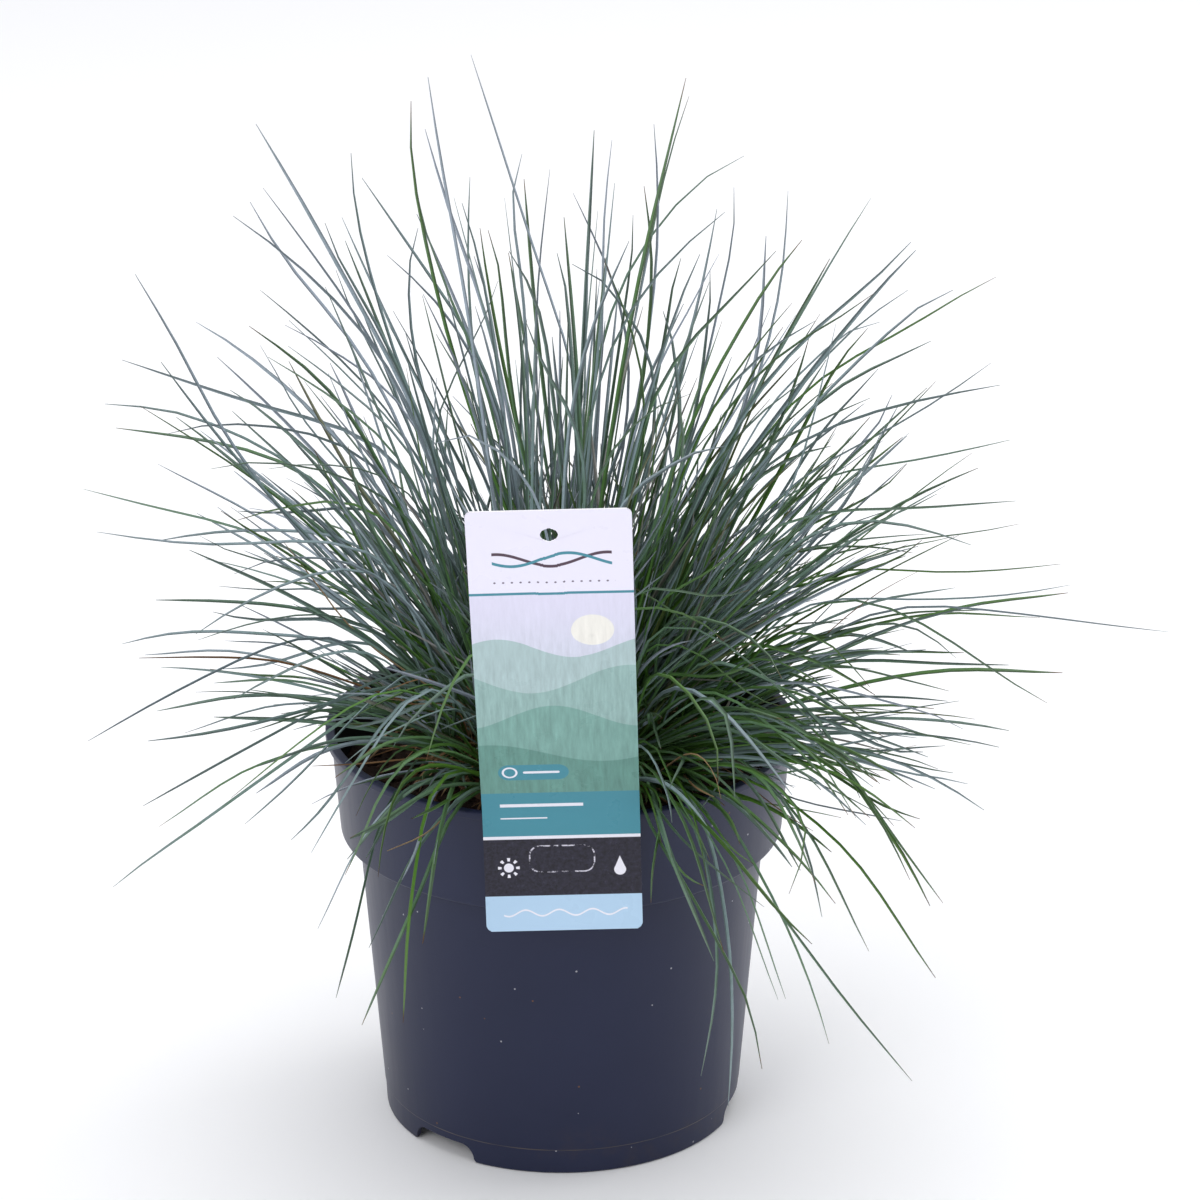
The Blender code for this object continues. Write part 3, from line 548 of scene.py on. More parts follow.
PALE_LEAVES = (
    (-14, (902, 821), (859, 813), (790, 799), (700, 748), (640, 720)),
    (-11, (963, 729), (947, 720), (881, 700), (795, 679)),
    (-12, (383, 667), (410, 675), (440, 685), (466, 694)),
)
YELLOW_LEAVES = (
    (-9, (353, 718), (375, 705), (393, 697), (420, 684)),
    (-15, (378, 877), (383, 835), (393, 796)),
    (-15, (718, 782), (718, 748), (710, 722), (694, 698)),
    (-14, (723, 759), (712, 762), (694, 755)),
    (-15, (704, 886), (687, 878), (672, 859), (650, 792)),
    (-15, (651, 903), (653, 863), (664, 801)),
)
DRY_LEAVES = (
    (-8, (388, 699), (415, 701), (453, 697)),
    (-8, (403, 704), (423, 704), (443, 703)),
    (-7, (383, 691), (400, 686), (410, 681)),
    (-14, (721, 799), (720, 788), (716, 778)),
    (-14, (714, 797), (705, 793), (696, 788)),
    (-6, (139, 658), (217, 657), (293, 662), (327, 674)),
    (-14, (387, 851), (432, 830), (444, 817)),
    (-13, (312, 766), (355, 764), (449, 758)),
    (-15, (813, 831), (785, 814), (760, 795), (722, 765)),
    (-4, (283, 541), (299, 562), (318, 585), (333, 608)),
    (2, (917, 572), (877, 593), (850, 613), (823, 637), (790, 668)),
)


# Camera, light and floor

def lift(pixel, depth):
    """The point at a depth along Y that the photograph shows at a pixel."""
    right = (pixel[0] - PHOTO_SIDE / 2) / FOCAL_PIXELS
    rise = (PHOTO_SIDE / 2 - pixel[1]) / FOCAL_PIXELS
    forward = math.cos(CAMERA_DIP) + rise * math.sin(CAMERA_DIP)
    upward = rise * math.cos(CAMERA_DIP) - math.sin(CAMERA_DIP)
    scale = (depth - CAMERA_PLACE[1]) / forward
    return np.array((CAMERA_PLACE[0] + scale * right, depth, CAMERA_PLACE[2] + scale * upward))


def add_camera():
    data = bpy.data.cameras.new("camera")
    data.sensor_width = SENSOR_WIDTH
    data.lens = FOCAL_PIXELS * SENSOR_WIDTH / PHOTO_SIDE
    camera = bpy.data.objects.new("camera", data)
    camera.location = CAMERA_PLACE
    camera.rotation_euler = (math.pi / 2 - CAMERA_DIP, 0.0, 0.0)
    bpy.context.scene.collection.objects.link(camera)
    bpy.context.scene.camera = camera


def add_light(name, place, target, size, power):
    data = bpy.data.lights.new(name, "AREA")
    data.shape = "SQUARE"
    data.size = size
    data.energy = power
    light = bpy.data.objects.new(name, data)
    light.location = place
    light.rotation_euler = (Vector(target) - Vector(place)).to_track_quat("-Z", "Y").to_euler()
    bpy.context.scene.collection.objects.link(light)


def add_studio():
    world = bpy.data.worlds.new("studio")
    world.use_nodes = True
    background = world.node_tree.nodes["Background"]
    background.inputs["Color"].default_value = WORLD_COLOUR
    background.inputs["Strength"].default_value = WORLD_STRENGTH
    bpy.context.scene.world = world
    bpy.context.scene.view_settings.view_transform = "Standard"
    for softbox in SOFTBOXES:
        add_light(*softbox)
    bm = bmesh.new()
    bmesh.ops.create_circle(bm, cap_ends=True, segments=96, radius=FLOOR_RADIUS)
    shader = Shader("floor", roughness=0.9)
    shader.set("Base Color", FLOOR_COLOUR)
    floor = add_piece("floor", bm, shader.material)
    floor.location.z = -FLOOR_DROP


# Meshes and materials

def add_piece(name, bm, *materials, smooth_angle=None):
    mesh = bpy.data.meshes.new(name)
    if isinstance(bm, bmesh.types.BMesh):
        bm.to_mesh(mesh)
        bm.free()
    else:
        mesh.from_pydata(*bm)
    piece = bpy.data.objects.new(name, mesh)
    bpy.context.scene.collection.objects.link(piece)
    for material in materials:
        mesh.materials.append(material)
    if smooth_angle is not None:
        mesh.shade_smooth()
        mesh.set_sharp_from_angle(angle=math.radians(smooth_angle))
    return piece


def set_values(piece, **values):
    """Numbers at the corners of a mesh, for its material to read."""
    for name, numbers in values.items():
        layer = piece.data.attributes.new(name, "FLOAT", "POINT")
        layer.data.foreach_set("value", np.asarray(numbers, np.float32))


def stand_for(piece, node):
    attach(piece, "root")
    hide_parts(node)


class Shader:
    """A principled material whose sockets are fed by small node expressions."""

    def __init__(self, name, roughness=0.5):
        self.material = bpy.data.materials.new(name)
        self.material.use_nodes = True
        self.tree = self.material.node_tree
        self.main = self.tree.nodes["Principled BSDF"]
        self.set("Roughness", roughness)

    def set(self, socket, value):
        self.main.inputs[socket].default_value = value

    def feed(self, source, socket):
        self.tree.links.new(source, self.main.inputs[socket])

    def node(self, kind, **inputs):
        made = self.tree.nodes.new("ShaderNode" + kind)
        for name, value in inputs.items():
            self.put(made.inputs[name], value)
        return made

    def put(self, socket, value):
        if isinstance(value, bpy.types.NodeSocket):
            self.tree.links.new(value, socket)
        else:
            socket.default_value = value

    def math(self, operation, first, second=0.0, third=0.0):
        made = self.tree.nodes.new("ShaderNodeMath")
        made.operation = operation
        for socket, value in zip(made.inputs, (first, second, third)):
            self.put(socket, value)
        return made.outputs[0]

    def scaled(self, value, factor, offset=0.0):
        return self.math("MULTIPLY_ADD", value, factor, offset)

    def times(self, first, second):
        return self.math("MULTIPLY", first, second)

    def minus(self, first, second):
        return self.math("SUBTRACT", first, second)

    def larger(self, first, second):
        return self.math("MAXIMUM", first, second)

    def gap(self, first, second):
        """How far apart two values are."""
        return self.math("ABSOLUTE", self.minus(first, second))

    def ramp(self, value, low, high, start=0.0, end=1.0):
        """The value's place between low and high, smoothed, from start to end."""
        made = self.node("MapRange", Value=value)
        made.interpolation_type = "SMOOTHSTEP"
        for name, number in zip(("From Min", "From Max", "To Min", "To Max"),
                                (low, high, start, end)):
            made.inputs[name].default_value = number
        return made.outputs[0]

    def attribute(self, name):
        made = self.tree.nodes.new("ShaderNodeAttribute")
        made.attribute_name = name
        return made.outputs["Fac"]

    def colours(self, value, stops):
        made = self.node("ValToRGB", Fac=value)
        elements = made.color_ramp.elements
        while len(elements) < len(stops):
            elements.new(0.5)
        for element, (place, colour) in zip(elements, stops):
            element.position = place
            element.color = (*colour, 1.0)
        return made.outputs[0]

    def mix(self, share, first, second, blend="MIX"):
        made = self.tree.nodes.new("ShaderNodeMix")
        made.data_type = "RGBA"
        made.blend_type = blend
        for number, value in zip((0, 6, 7), (share, first, second)):
            self.put(made.inputs[number], value)
        return made.outputs[2]

    def lit(self, colour, light):
        """The colour made lighter or darker by a factor."""
        grey = self.node("CombineColor", Red=light, Green=light, Blue=light).outputs[0]
        return self.mix(1.0, colour, grey, "MULTIPLY")

    def noise(self, scale, detail=3.0, vector=None, roughness=0.5):
        made = self.node("TexNoise", Scale=scale, Detail=detail, Roughness=roughness)
        self.put(made.inputs["Vector"], vector or self.place())
        return made.outputs["Fac"]

    def place(self):
        return self.tree.nodes.new("ShaderNodeTexCoord").outputs["Object"]

    def bump(self, height, distance, strength=1.0):
        made = self.node("Bump", Height=height, Distance=distance, Strength=strength)
        self.feed(made.outputs["Normal"], "Normal")


def leaf_material(name, bluer):
    """Waxy blue-green leaf: ribbed, greener at the base and darker there as painted shade, drying
    at some tips, with painted highlights along the ribs and painted light and shade on the fold's
    two sides.
    """
    shader = Shader(name, roughness=0.46)
    shader.set("Specular IOR Level", 0.16)
    tone = shader.math("ADD", shader.attribute("tone"), bluer)
    along, across = shader.attribute("along"), shader.attribute("across")
    mottle, streak = shader.noise(90.0, 4.0), shader.noise(700.0, 2.0)
    shift = shader.scaled(mottle, 0.36, shader.math("ADD", tone, -0.18))
    fresh = shader.colours(shift, FRESH_COLOURS)
    fresh = shader.mix(shader.ramp(along, 0.55, 1.0, 0.0, 0.20), fresh, TIP_COLOUR)
    # Greener towards the base, the leaf's own green there, and darker, as painted shade inside the
    # clump
    fresh = shader.mix(shader.ramp(along, 0.05, 0.50, 0.80, 0.0), fresh, BASE_GREEN_AND_PAINTED_SHADE)
    sheath_share = shader.times(shader.ramp(along, 0.02, 0.12, 0.75, 0.0),
                                shader.ramp(tone, 0.35, 0.45, 1.0, 0.25))
    fresh = shader.mix(sheath_share, fresh, SHEATH_COLOUR)
    tip_share = shader.times(shader.ramp(along, 0.955, 0.99), shader.ramp(tone, 0.42, 0.30))
    dry_share = shader.larger(shader.attribute("dryness"), tip_share)
    colour = shader.mix(dry_share, fresh, shader.colours(shift, DRY_COLOURS))
    # Painted light and shade: pale and dark lines along the ribs are painted highlights, and one
    # side of the fold is painted darker and the other lighter, partly the two sides' own tones;
    # the streaks are random tone
    rib = shader.math("COSINE", shader.times(across, 4 * math.tau))
    light = shader.scaled(rib, 0.08, shader.scaled(streak, 0.3, 0.85))
    light = shader.times(light, shader.ramp(across, 0.42, 0.58, 0.62, 1.20))
    shader.feed(shader.lit(colour, light), "Base Color")
    shader.feed(shader.scaled(streak, 0.22, 0.36), "Roughness")
    shader.bump(rib, 0.08 * MM, 0.6)
    return shader.material


def plastic_material():
    """Satin moulded plastic with dust specks, a dusty crease above the foot and painted shade on
    the faces that look inwards.
    """
    shader = Shader("pot_plastic", roughness=0.4)
    shader.set("Specular IOR Level", 0.26)
    height = shader.node("SeparateXYZ", Vector=shader.place()).outputs["Z"]
    cloud, grain = shader.noise(14.0, 5.0), shader.noise(900.0, 2.0)
    colour = shader.colours(cloud, PLASTIC_COLOURS)
    for scale, rarity, size, dust in SPECKS:
        cells = shader.node("TexVoronoi", Vector=shader.place(), Scale=scale)
        chosen = shader.node("SeparateColor", Color=cells.outputs["Color"]).outputs["Red"]
        speck = shader.times(shader.math("GREATER_THAN", chosen, rarity),
                             shader.math("LESS_THAN", cells.outputs["Distance"], size))
        colour = shader.mix(speck, colour, dust)
    near_crease = shader.ramp(shader.gap(height, CREASE_HEIGHT), 0.10 * MM, 0.42 * MM, 1.0, 0.0)
    crease = shader.times(near_crease, shader.ramp(shader.noise(60.0, 4.0), 0.35, 0.60, 0.15, 0.9))
    colour = shader.mix(crease, colour, CREASE_DUST)
    low_dust = shader.times(shader.ramp(height, 0.0, 32 * MM, 0.5, 0.0),
                            shader.ramp(shader.noise(42.0, 5.0, roughness=0.7), 0.52, 0.78))
    colour = shader.mix(low_dust, colour, FOOT_DUST)
    # Painted shade: the faces that look inwards are painted darker, standing in for the shade
    # inside the pot, and made rougher
    facing = shader.tree.nodes.new("ShaderNodeVectorMath")
    facing.operation = "DOT_PRODUCT"
    shader.put(facing.inputs[0], shader.tree.nodes.new("ShaderNodeNewGeometry").outputs["Normal"])
    shader.put(facing.inputs[1], shader.place())
    inside = shader.ramp(facing.outputs["Value"], -0.02, -0.05)
    shader.feed(shader.mix(inside, colour, INSIDE_PAINTED_SHADE), "Base Color")
    stretch = shader.node("Mapping", Vector=shader.place())
    stretch.inputs["Scale"].default_value = (1.0, 1.0, 0.04)
    rubbed = shader.noise(260.0, 3.0, vector=stretch.outputs["Vector"])
    gloss = shader.scaled(cloud, 0.16, shader.scaled(rubbed, 0.10, 0.26))
    shader.feed(shader.scaled(inside, 0.45, gloss), "Roughness")
    shader.bump(shader.scaled(rubbed, 0.5, grain), 0.05 * MM, 0.35)
    return shader.material


def peat_material():
    """Damp brown peat, mottled with other browns."""
    shader = Shader("peat", roughness=0.92)
    shader.set("Specular IOR Level", 0.25)
    tone = shader.scaled(shader.noise(320.0, 6.0, roughness=0.7), 0.75,
                         shader.scaled(shader.attribute("tone"), 0.5, -0.12))
    shader.feed(shader.colours(tone, PEAT_COLOURS), "Base Color")
    shader.bump(shader.noise(1500.0, 4.0), 0.35 * MM, 0.8)
    return shader.material


def label_material():
    """Glossy printed card: plain bands, a landscape of plain hills and a few simple signs."""
    shader = Shader("label_card", roughness=0.3)
    shader.set("Specular IOR Level", 0.3)
    along, across = shader.attribute("along"), shader.attribute("across")

    def distance(sideways, upward):
        return shader.math("SQRT", shader.scaled(sideways, sideways, shader.times(upward, upward)))

    def distance_from(spot):
        return distance(shader.gap(across, spot[0]), shader.gap(along, spot[1]))

    def inside(value, edge=0.0):
        return shader.ramp(value, edge - PRINT_EDGE, edge + PRINT_EDGE, 1.0, 0.0)

    def wave(height, swing, length, phase):
        turn = shader.scaled(across, math.tau / length, phase)
        return shader.scaled(shader.math("SINE", turn), swing, height)

    def line(height, half_height, left, right):
        """A line at a height, which may be a wave, between two places across the card."""
        stroke = inside(shader.minus(shader.gap(along, height), half_height))
        return shader.times(stroke, inside(shader.gap(across, (left + right) / 2),
                                           (right - left) / 2))

    def bar(centre, half_length, half_height):
        """A bar with round ends."""
        beyond = shader.minus(shader.gap(across, centre[0]), half_length - half_height)
        from_middle = distance(shader.larger(beyond, 0.0), shader.gap(along, centre[1]))
        return inside(shader.minus(from_middle, half_height))

    # Landscape, from the sky down to the nearest hill
    stretch = shader.node("CombineXYZ", X=across, Y=shader.times(along, 0.12)).outputs[0]
    streak = shader.noise(0.55, 4.0, vector=stretch, roughness=0.65)
    picture = shader.mix(shader.ramp(along, 120.0, 169.0), LOW_SKY, HIGH_SKY)
    sun = inside(shader.minus(distance_from(SUN_PLACE), SUN_RADIUS))
    picture = shader.mix(sun, picture, SUN_COLOUR)
    for height, swing, length, phase, colour in HILLS:
        hill = shader.minus(along, wave(height, swing, length, phase))
        picture = shader.mix(inside(hill), picture, (*colour, 1.0))
    streaked = shader.lit(picture, shader.scaled(streak, 0.9, 0.55))
    picture = shader.mix(shader.ramp(along, 165.0, 110.0, 0.2, 1.0), picture, streaked)

    # Bands, from the foot up
    flat = shader.node("CombineXYZ", X=across, Y=along).outputs[0]
    soil = shader.colours(shader.noise(0.5, 6.0, vector=flat, roughness=0.75), BAND_SOIL)
    colour = FOOT_BLUE
    for edge, band in zip(BAND_EDGES, (soil, WHITE, TEAL, picture, TEAL, HEADER_WHITE)):
        colour = shader.mix(inside(along, edge), band, colour)

    # Simple signs in place of words
    dot = distance(shader.math("PINGPONG", across, DOT_SPACING / 2), shader.gap(along, DOT_LINE))
    dots = shader.times(inside(shader.minus(dot, DOT_RADIUS)),
                        inside(shader.gap(across, 31.0), 23.0))
    from_sun = distance_from(SIGN_SUN)
    turn = shader.math("ARCTAN2", shader.minus(along, SIGN_SUN[1]),
                       shader.minus(across, SIGN_SUN[0]))
    beams = shader.math("GREATER_THAN", shader.math("COSINE", shader.times(turn, 8.0)), 0.35)
    rays = shader.times(beams, inside(shader.gap(from_sun, 3.5), 0.7))
    spire = shader.times(
        inside(shader.scaled(along, 0.42, shader.gap(across, SIGN_DROP[0])), 0.42 * 31.2),
        shader.math("GREATER_THAN", along, SIGN_DROP[1] + 1.0))
    # Where the hook is pressed into the back, a broken pale line
    beyond = [shader.larger(shader.minus(shader.gap(value, centre), half), 0.0)
              for value, centre, half in zip((across, along), HOOK_MARK, (8.5, 1.5))]
    pressed = shader.gap(distance(*beyond), 4.0)
    flaked = shader.ramp(shader.noise(420.0, 4.0, roughness=0.7), 0.46, 0.56)
    for sign, ink in (
        (line(wave(7.6, 1.3, 13.0, 0.4), 0.35, 7.0, 55.0), WHITE),
        (line(wave(187.0, 3.2, 41.0, 0.0), 0.75, 9.0, 53.0), PLUM),
        (line(wave(187.0, 3.2, 41.0, 2.2), 0.75, 9.0, 53.0), TEAL),
        (line(55.0, 0.8, 7.0, 39.0), WHITE),
        (line(48.5, 0.4, 7.0, 25.0), WHITE),
        (dots, DOT_COLOUR),
        (bar(BADGE, 13.5, 4.2), TEAL),
        (inside(shader.gap(distance_from(RING), 2.6), 0.4), WHITE),
        (bar((BADGE[0] + 3.0, BADGE[1]), 7.0, 0.6), WHITE),
        (shader.larger(rays, inside(from_sun, 1.9)), WHITE),
        (shader.larger(spire, inside(distance_from(SIGN_DROP), 2.3)), WHITE),
        (shader.times(inside(pressed, 0.28), flaked), PRESSED_COLOUR),
        (shader.math("LESS_THAN", shader.attribute("front"), 0.97), CARD_WHITE),
    ):
        colour = shader.mix(sign, colour, ink)
    shader.feed(colour, "Base Color")
    shader.feed(shader.scaled(shader.noise(70.0, 4.0), 0.14, 0.22), "Roughness")
    dent = shader.times(inside(pressed, 0.5), 0.5)
    shader.bump(shader.minus(shader.noise(45.0, 2.0), dent), 0.12 * MM, 0.3)
    return shader.material


# Pot, soil, crown and label

def eased(profile):
    """The profile with each corner rounded by about the radius that is given with it."""
    points = []
    for index, (radius, height, ease) in enumerate(profile):
        corner = Vector((radius, height))
        if ease == 0.0:
            points.append(corner)
            continue
        before = Vector(profile[index - 1][:2]) - corner
        after = Vector(profile[index + 1][:2]) - corner
        reach = min(ease / math.tan(before.angle(after) / 2),
                    0.45 * before.length, 0.45 * after.length)
        start, end = corner + before.normalized() * reach, corner + after.normalized() * reach
        for step in range(EASE_POINTS + 1):
            share = step / EASE_POINTS
            points.append(start.lerp(corner, share).lerp(corner.lerp(end, share), share))
    return points


def revolved(profile, segments):
    bm = bmesh.new()
    points = [bm.verts.new((point[0], 0.0, point[1])) for point in profile]
    edges = [bm.edges.new(pair) for pair in zip(points, points[1:])]
    bmesh.ops.spin(bm, geom=points + edges, cent=(0, 0, 0), axis=(0, 0, 1),
                   angle=math.tau, steps=segments, use_merge=True)
    bmesh.ops.remove_doubles(bm, verts=bm.verts, dist=1e-7)
    bmesh.ops.recalc_face_normals(bm, faces=bm.faces)
    return bm


def notch_cutters():
    """Arched blocks through the foot ring, one at each notch."""
    below = -2.0 * MM
    outline = [(-NOTCH_HALF_WIDTH - NOTCH_CORNER / 2, below)]
    for side in (-1, 1):
        centre = side * (NOTCH_HALF_WIDTH - NOTCH_CORNER)
        turns = [math.pi / 2 * step / 12 for step in range(13)]
        for turn in turns if side < 0 else reversed(turns):
            outline.append((centre + side * NOTCH_CORNER * math.cos(turn),
                            NOTCH_HEIGHT - NOTCH_CORNER + NOTCH_CORNER * math.sin(turn)))
    outline.append((NOTCH_HALF_WIDTH + NOTCH_CORNER / 2, below))
    bm = bmesh.new()
    for angle in NOTCH_ANGLES:
        turn = Matrix.Rotation(math.radians(angle), 3, "Z")
        face = bm.faces.new([bm.verts.new(turn @ Vector((side, -FOOT_RADIUS + 6 * MM, height)))
                             for side, height in outline])
        made = bmesh.ops.extrude_face_region(bm, geom=[face])["geom"]
        bmesh.ops.translate(bm, vec=turn @ Vector((0.0, -12 * MM, 0.0)),
                            verts=[vert for vert in made if isinstance(vert, bmesh.types.BMVert)])
    bmesh.ops.recalc_face_normals(bm, faces=bm.faces)
    return add_piece("notches", bm)


def drain_cutters():
    bm = bmesh.new()
    for index in range(DRAIN_COUNT):
        angle = math.tau * (index + 0.5) / DRAIN_COUNT
        spot = Matrix.Translation((DRAIN_CIRCLE * math.cos(angle), DRAIN_CIRCLE * math.sin(angle),
                                   FLOOR_HEIGHT))
        bmesh.ops.create_cone(bm, cap_ends=True, segments=36, radius1=DRAIN_RADIUS,
                              radius2=DRAIN_RADIUS, depth=FLOOR_HEIGHT, matrix=spot)
    return add_piece("drains", bm)


def cut(piece, cutter):
    """Take the cutter's shape out of the piece for good."""
    modifier = piece.modifiers.new("cut", "BOOLEAN")
    modifier.operation, modifier.solver, modifier.object = "DIFFERENCE", "EXACT", cutter
    shown = piece.evaluated_get(bpy.context.evaluated_depsgraph_get())
    done = bpy.data.meshes.new_from_object(shown)
    piece.modifiers.clear()
    piece.data = done
    bpy.data.objects.remove(cutter, do_unlink=True)


def build_pot(material):
    small, fine = 0.9 * MM, 0.35 * MM
    profile = eased((
        (0.0, 0.0, 0.0), (FOOT_DISC_RADIUS, 0.0, small), (FOOT_DISC_RADIUS, FOOT_HEIGHT, small),
        (FOOT_RADIUS - FOOT_WALL, FOOT_HEIGHT, small), (FOOT_RADIUS - FOOT_WALL, 0.0, fine),
        (FOOT_RADIUS, 0.0, small),
        (FOOT_RADIUS + WALL / 2 - 0.15 * MM, CREASE_HEIGHT - 0.2 * MM, fine),
        (FOOT_RADIUS + WALL / 2 + 0.1 * MM, CREASE_HEIGHT + 0.2 * MM, fine),
        (BODY_TOP_RADIUS, BODY_TOP, small), (COLLAR_RADIUS, COLLAR_BOTTOM, 1.6 * MM),
        (COLLAR_TOP_RADIUS, LIP_BOTTOM, small), (LIP_RADIUS, LIP_BOTTOM + LIP_EDGE, fine),
        (LIP_RADIUS, RIM_HEIGHT, small), (LIP_INNER_RADIUS, RIM_HEIGHT, small),
        (COLLAR_RADIUS - WALL, COLLAR_BOTTOM + WALL, small),
        (BODY_TOP_RADIUS - WALL, COLLAR_BOTTOM, small), (floor_radius(), FLOOR_HEIGHT, small),
        (0.0, FLOOR_HEIGHT, 0.0),
    ))
    pot = add_piece("pot_shell", revolved(profile, POT_SEGMENTS), material)
    cut(pot, notch_cutters())
    cut(pot, drain_cutters())
    pot.data.shade_smooth()
    pot.data.set_sharp_from_angle(angle=math.radians(32))
    stand_for(pot, "pot")


def floor_radius():
    """Inside of the pot's wall at its floor."""
    return FOOT_RADIUS + (BODY_TOP_RADIUS - FOOT_RADIUS) * FLOOR_HEIGHT / BODY_TOP - WALL


def inner_radius(height):
    """Inside of the pot's collar at a height."""
    share = (height - COLLAR_BOTTOM - WALL) / (RIM_HEIGHT - COLLAR_BOTTOM - WALL)
    return COLLAR_RADIUS - WALL + (LIP_INNER_RADIUS - COLLAR_RADIUS + WALL) * share


def soil_height(x, y):
    """Top of the peat: soft lumps with finer ones on them, a little lower at the wall."""
    place = Vector((x, y, 0.0))
    lumps = sum(height * noise.noise(place * count) for height, count in SOIL_LUMPS)
    wall = max(math.hypot(x, y) / inner_radius(SOIL_TOP) - 0.9, 0.0) * 20.0
    return SOIL_TOP + (lumps - wall) * MM


def crown_height(x, y):
    """Top of the crown's mound above a spot on it."""
    return SOIL_TOP + CROWN_HEIGHT * math.sqrt(1.0 - (x * x + y * y) / CROWN_RADIUS ** 2)


def clod(rng, centre, radius):
    """Corners and faces of a rough crumb."""
    bm = bmesh.new()
    bmesh.ops.create_icosphere(bm, subdivisions=1, radius=radius)
    squash = Matrix.Rotation(rng.uniform(0, math.tau), 3, "Z") @ Matrix.Diagonal(
        (rng.uniform(0.7, 1.4), rng.uniform(0.6, 1.0), rng.uniform(0.45, 0.9)))
    corners = [squash @ vert.co * rng.uniform(0.75, 1.2) + centre for vert in bm.verts]
    faces = [tuple(vert.index for vert in face.verts) for face in bm.faces]
    bm.free()
    return corners, faces


def build_soil(material):
    rng = random.Random(7)
    top = inner_radius(SOIL_TOP) - PEAT_GAP
    waist, shoulder = BODY_TOP_RADIUS - WALL - PEAT_GAP, COLLAR_BOTTOM + WALL + 0.5 * MM
    foot = floor_radius() - 0.5 * MM
    profile = [(0.0, FLOOR_HEIGHT + PEAT_GAP), (foot, FLOOR_HEIGHT + PEAT_GAP),
               (waist, BODY_TOP - MM), (waist, shoulder),
               (inner_radius(shoulder) - 0.5 * MM, shoulder)]
    profile += [(top * share, SOIL_TOP) for share in np.linspace(1.0, 0.0, SOIL_RINGS)]
    bm = revolved(profile, SOIL_SEGMENTS)
    for vert in bm.verts:
        if vert.co.z > SOIL_TOP - 0.1 * MM:
            vert.co.z = soil_height(vert.co.x, vert.co.y)
    tones = [0.35] * len(bm.verts)
    for _ in range(SOIL_CRUMBS):
        angle, radius = rng.uniform(0, math.tau), top * math.sqrt(rng.uniform(0.16, 0.96))
        x, y = radius * math.cos(angle), radius * math.sin(angle)
        size = rng.uniform(0.6, 1.4) * MM * (1.0 + 1.4 * rng.random() ** 4)
        corners, faces = clod(rng, Vector((x, y, soil_height(x, y) + 0.2 * size)), size)
        tones += [rng.betavariate(1.6, 2.6)] * len(corners)
        verts = [bm.verts.new(corner) for corner in corners]
        for face in faces:
            bm.faces.new([verts[number] for number in face])
    soil = add_piece("peat_mix", bm, material, smooth_angle=60.0)
    set_values(soil, tone=tones)
    stand_for(soil, "soil")


def build_crown(material):
    """Mound of packed bases, with dead sheaths that stand on it and trail over the peat."""
    rng = random.Random(11)
    sheaths = Leaves(rng)
    for _ in range(CROWN_STUBS):
        angle, share = rng.uniform(0, math.tau), math.sqrt(rng.uniform(0.0, 0.98))
        spot = np.array((math.cos(angle), math.sin(angle), 0.0)) * share * CROWN_RADIUS
        spot[2] = crown_height(spot[0], spot[1]) - MM
        outward = np.array((spot[0] / CROWN_RADIUS, spot[1] / CROWN_RADIUS,
                            max((spot[2] - SOIL_TOP) / CROWN_HEIGHT, 0.0) + 0.35))
        aim = outward / np.linalg.norm(outward) + np.array([rng.gauss(0, 0.28) for _ in range(3)])
        length = rng.uniform(*STUB_LENGTHS) * (1.15 - 0.5 * share)
        middle = spot + aim * length * 0.5
        end = spot + aim * length + np.array([rng.gauss(0, 0.14) for _ in range(3)]) * length
        path = spline((spot, middle, end), 8)
        if is_clear(path, 0.0):
            sheaths.add(path, rng.uniform(*STUB_HALF_WIDTHS), rng.betavariate(1.4, 1.7),
                        min(1.0, rng.uniform(0.55, 1.4)), stations=8)
    for _ in range(CROWN_TRAILS):
        angle, share = rng.uniform(0, math.tau), rng.uniform(0.55, 0.95)
        start = np.array((math.cos(angle), math.sin(angle), 0.0)) * share * CROWN_RADIUS
        start[2] = crown_height(start[0], start[1])
        away = angle + rng.gauss(0, 0.5)
        end = np.array((math.cos(away), math.sin(away), 0.0)) * rng.uniform(*TRAIL_REACHES)
        end[2] = soil_height(end[0], end[1]) + rng.uniform(2.5, 8.0) * MM
        middle = (start + end) / 2 + UP * rng.uniform(4, 12) * MM
        path = spline((start, middle, end), 10)
        if is_clear(path, 0.0):
            sheaths.add(path, rng.uniform(*TRAIL_HALF_WIDTHS), rng.betavariate(1.5, 1.5), 1.0,
                        stations=10)
    rings = [(CROWN_RADIUS * math.cos(turn), CROWN_HEIGHT * math.sin(turn))
             for turn in np.linspace(0.0, math.pi / 2, MOUND_RINGS)]
    bm = revolved([(0.0, 0.0)] + rings[:-1] + [(0.0, CROWN_HEIGHT)], MOUND_SEGMENTS)
    for vert in bm.verts:
        if vert.co.z > MM:
            vert.co *= 0.95 + 0.06 * noise.noise(vert.co * 150.0)
    foot = Vector((0.0, 0.0, SOIL_TOP + PEAT_GAP))
    sheaths.add_solid([tuple(vert.co + foot) for vert in bm.verts],
                      [tuple(vert.index for vert in face.verts) for face in bm.faces],
                      MOUND_TONE, 1.0)
    bm.free()
    stand_for(sheaths.build("crown_sheaths", material), "crown")


def label_back(along):
    """Back of the card at a length from its lower edge, as (y, z), and its lean there."""
    y, z, lean = LABEL_BACK_Y, LABEL_BOTTOM, 0.0
    for index in range(round(along / LABEL_STEP)):
        bent = (index * LABEL_STEP - LABEL_BEND_START) / LABEL_BEND_LENGTH
        lean = LABEL_LEAN * min(max(bent, 0.0), 1.0)
        y -= LABEL_STEP * math.sin(lean)
        z += LABEL_STEP * math.cos(lean)
    return y, z, lean


def label_middle(along):
    """Middle of the card's thickness at a length from its lower edge, as (y, z)."""
    y, z, lean = label_back(along)
    return y - math.cos(lean) * LABEL_THICKNESS / 2, z - math.sin(lean) * LABEL_THICKNESS / 2


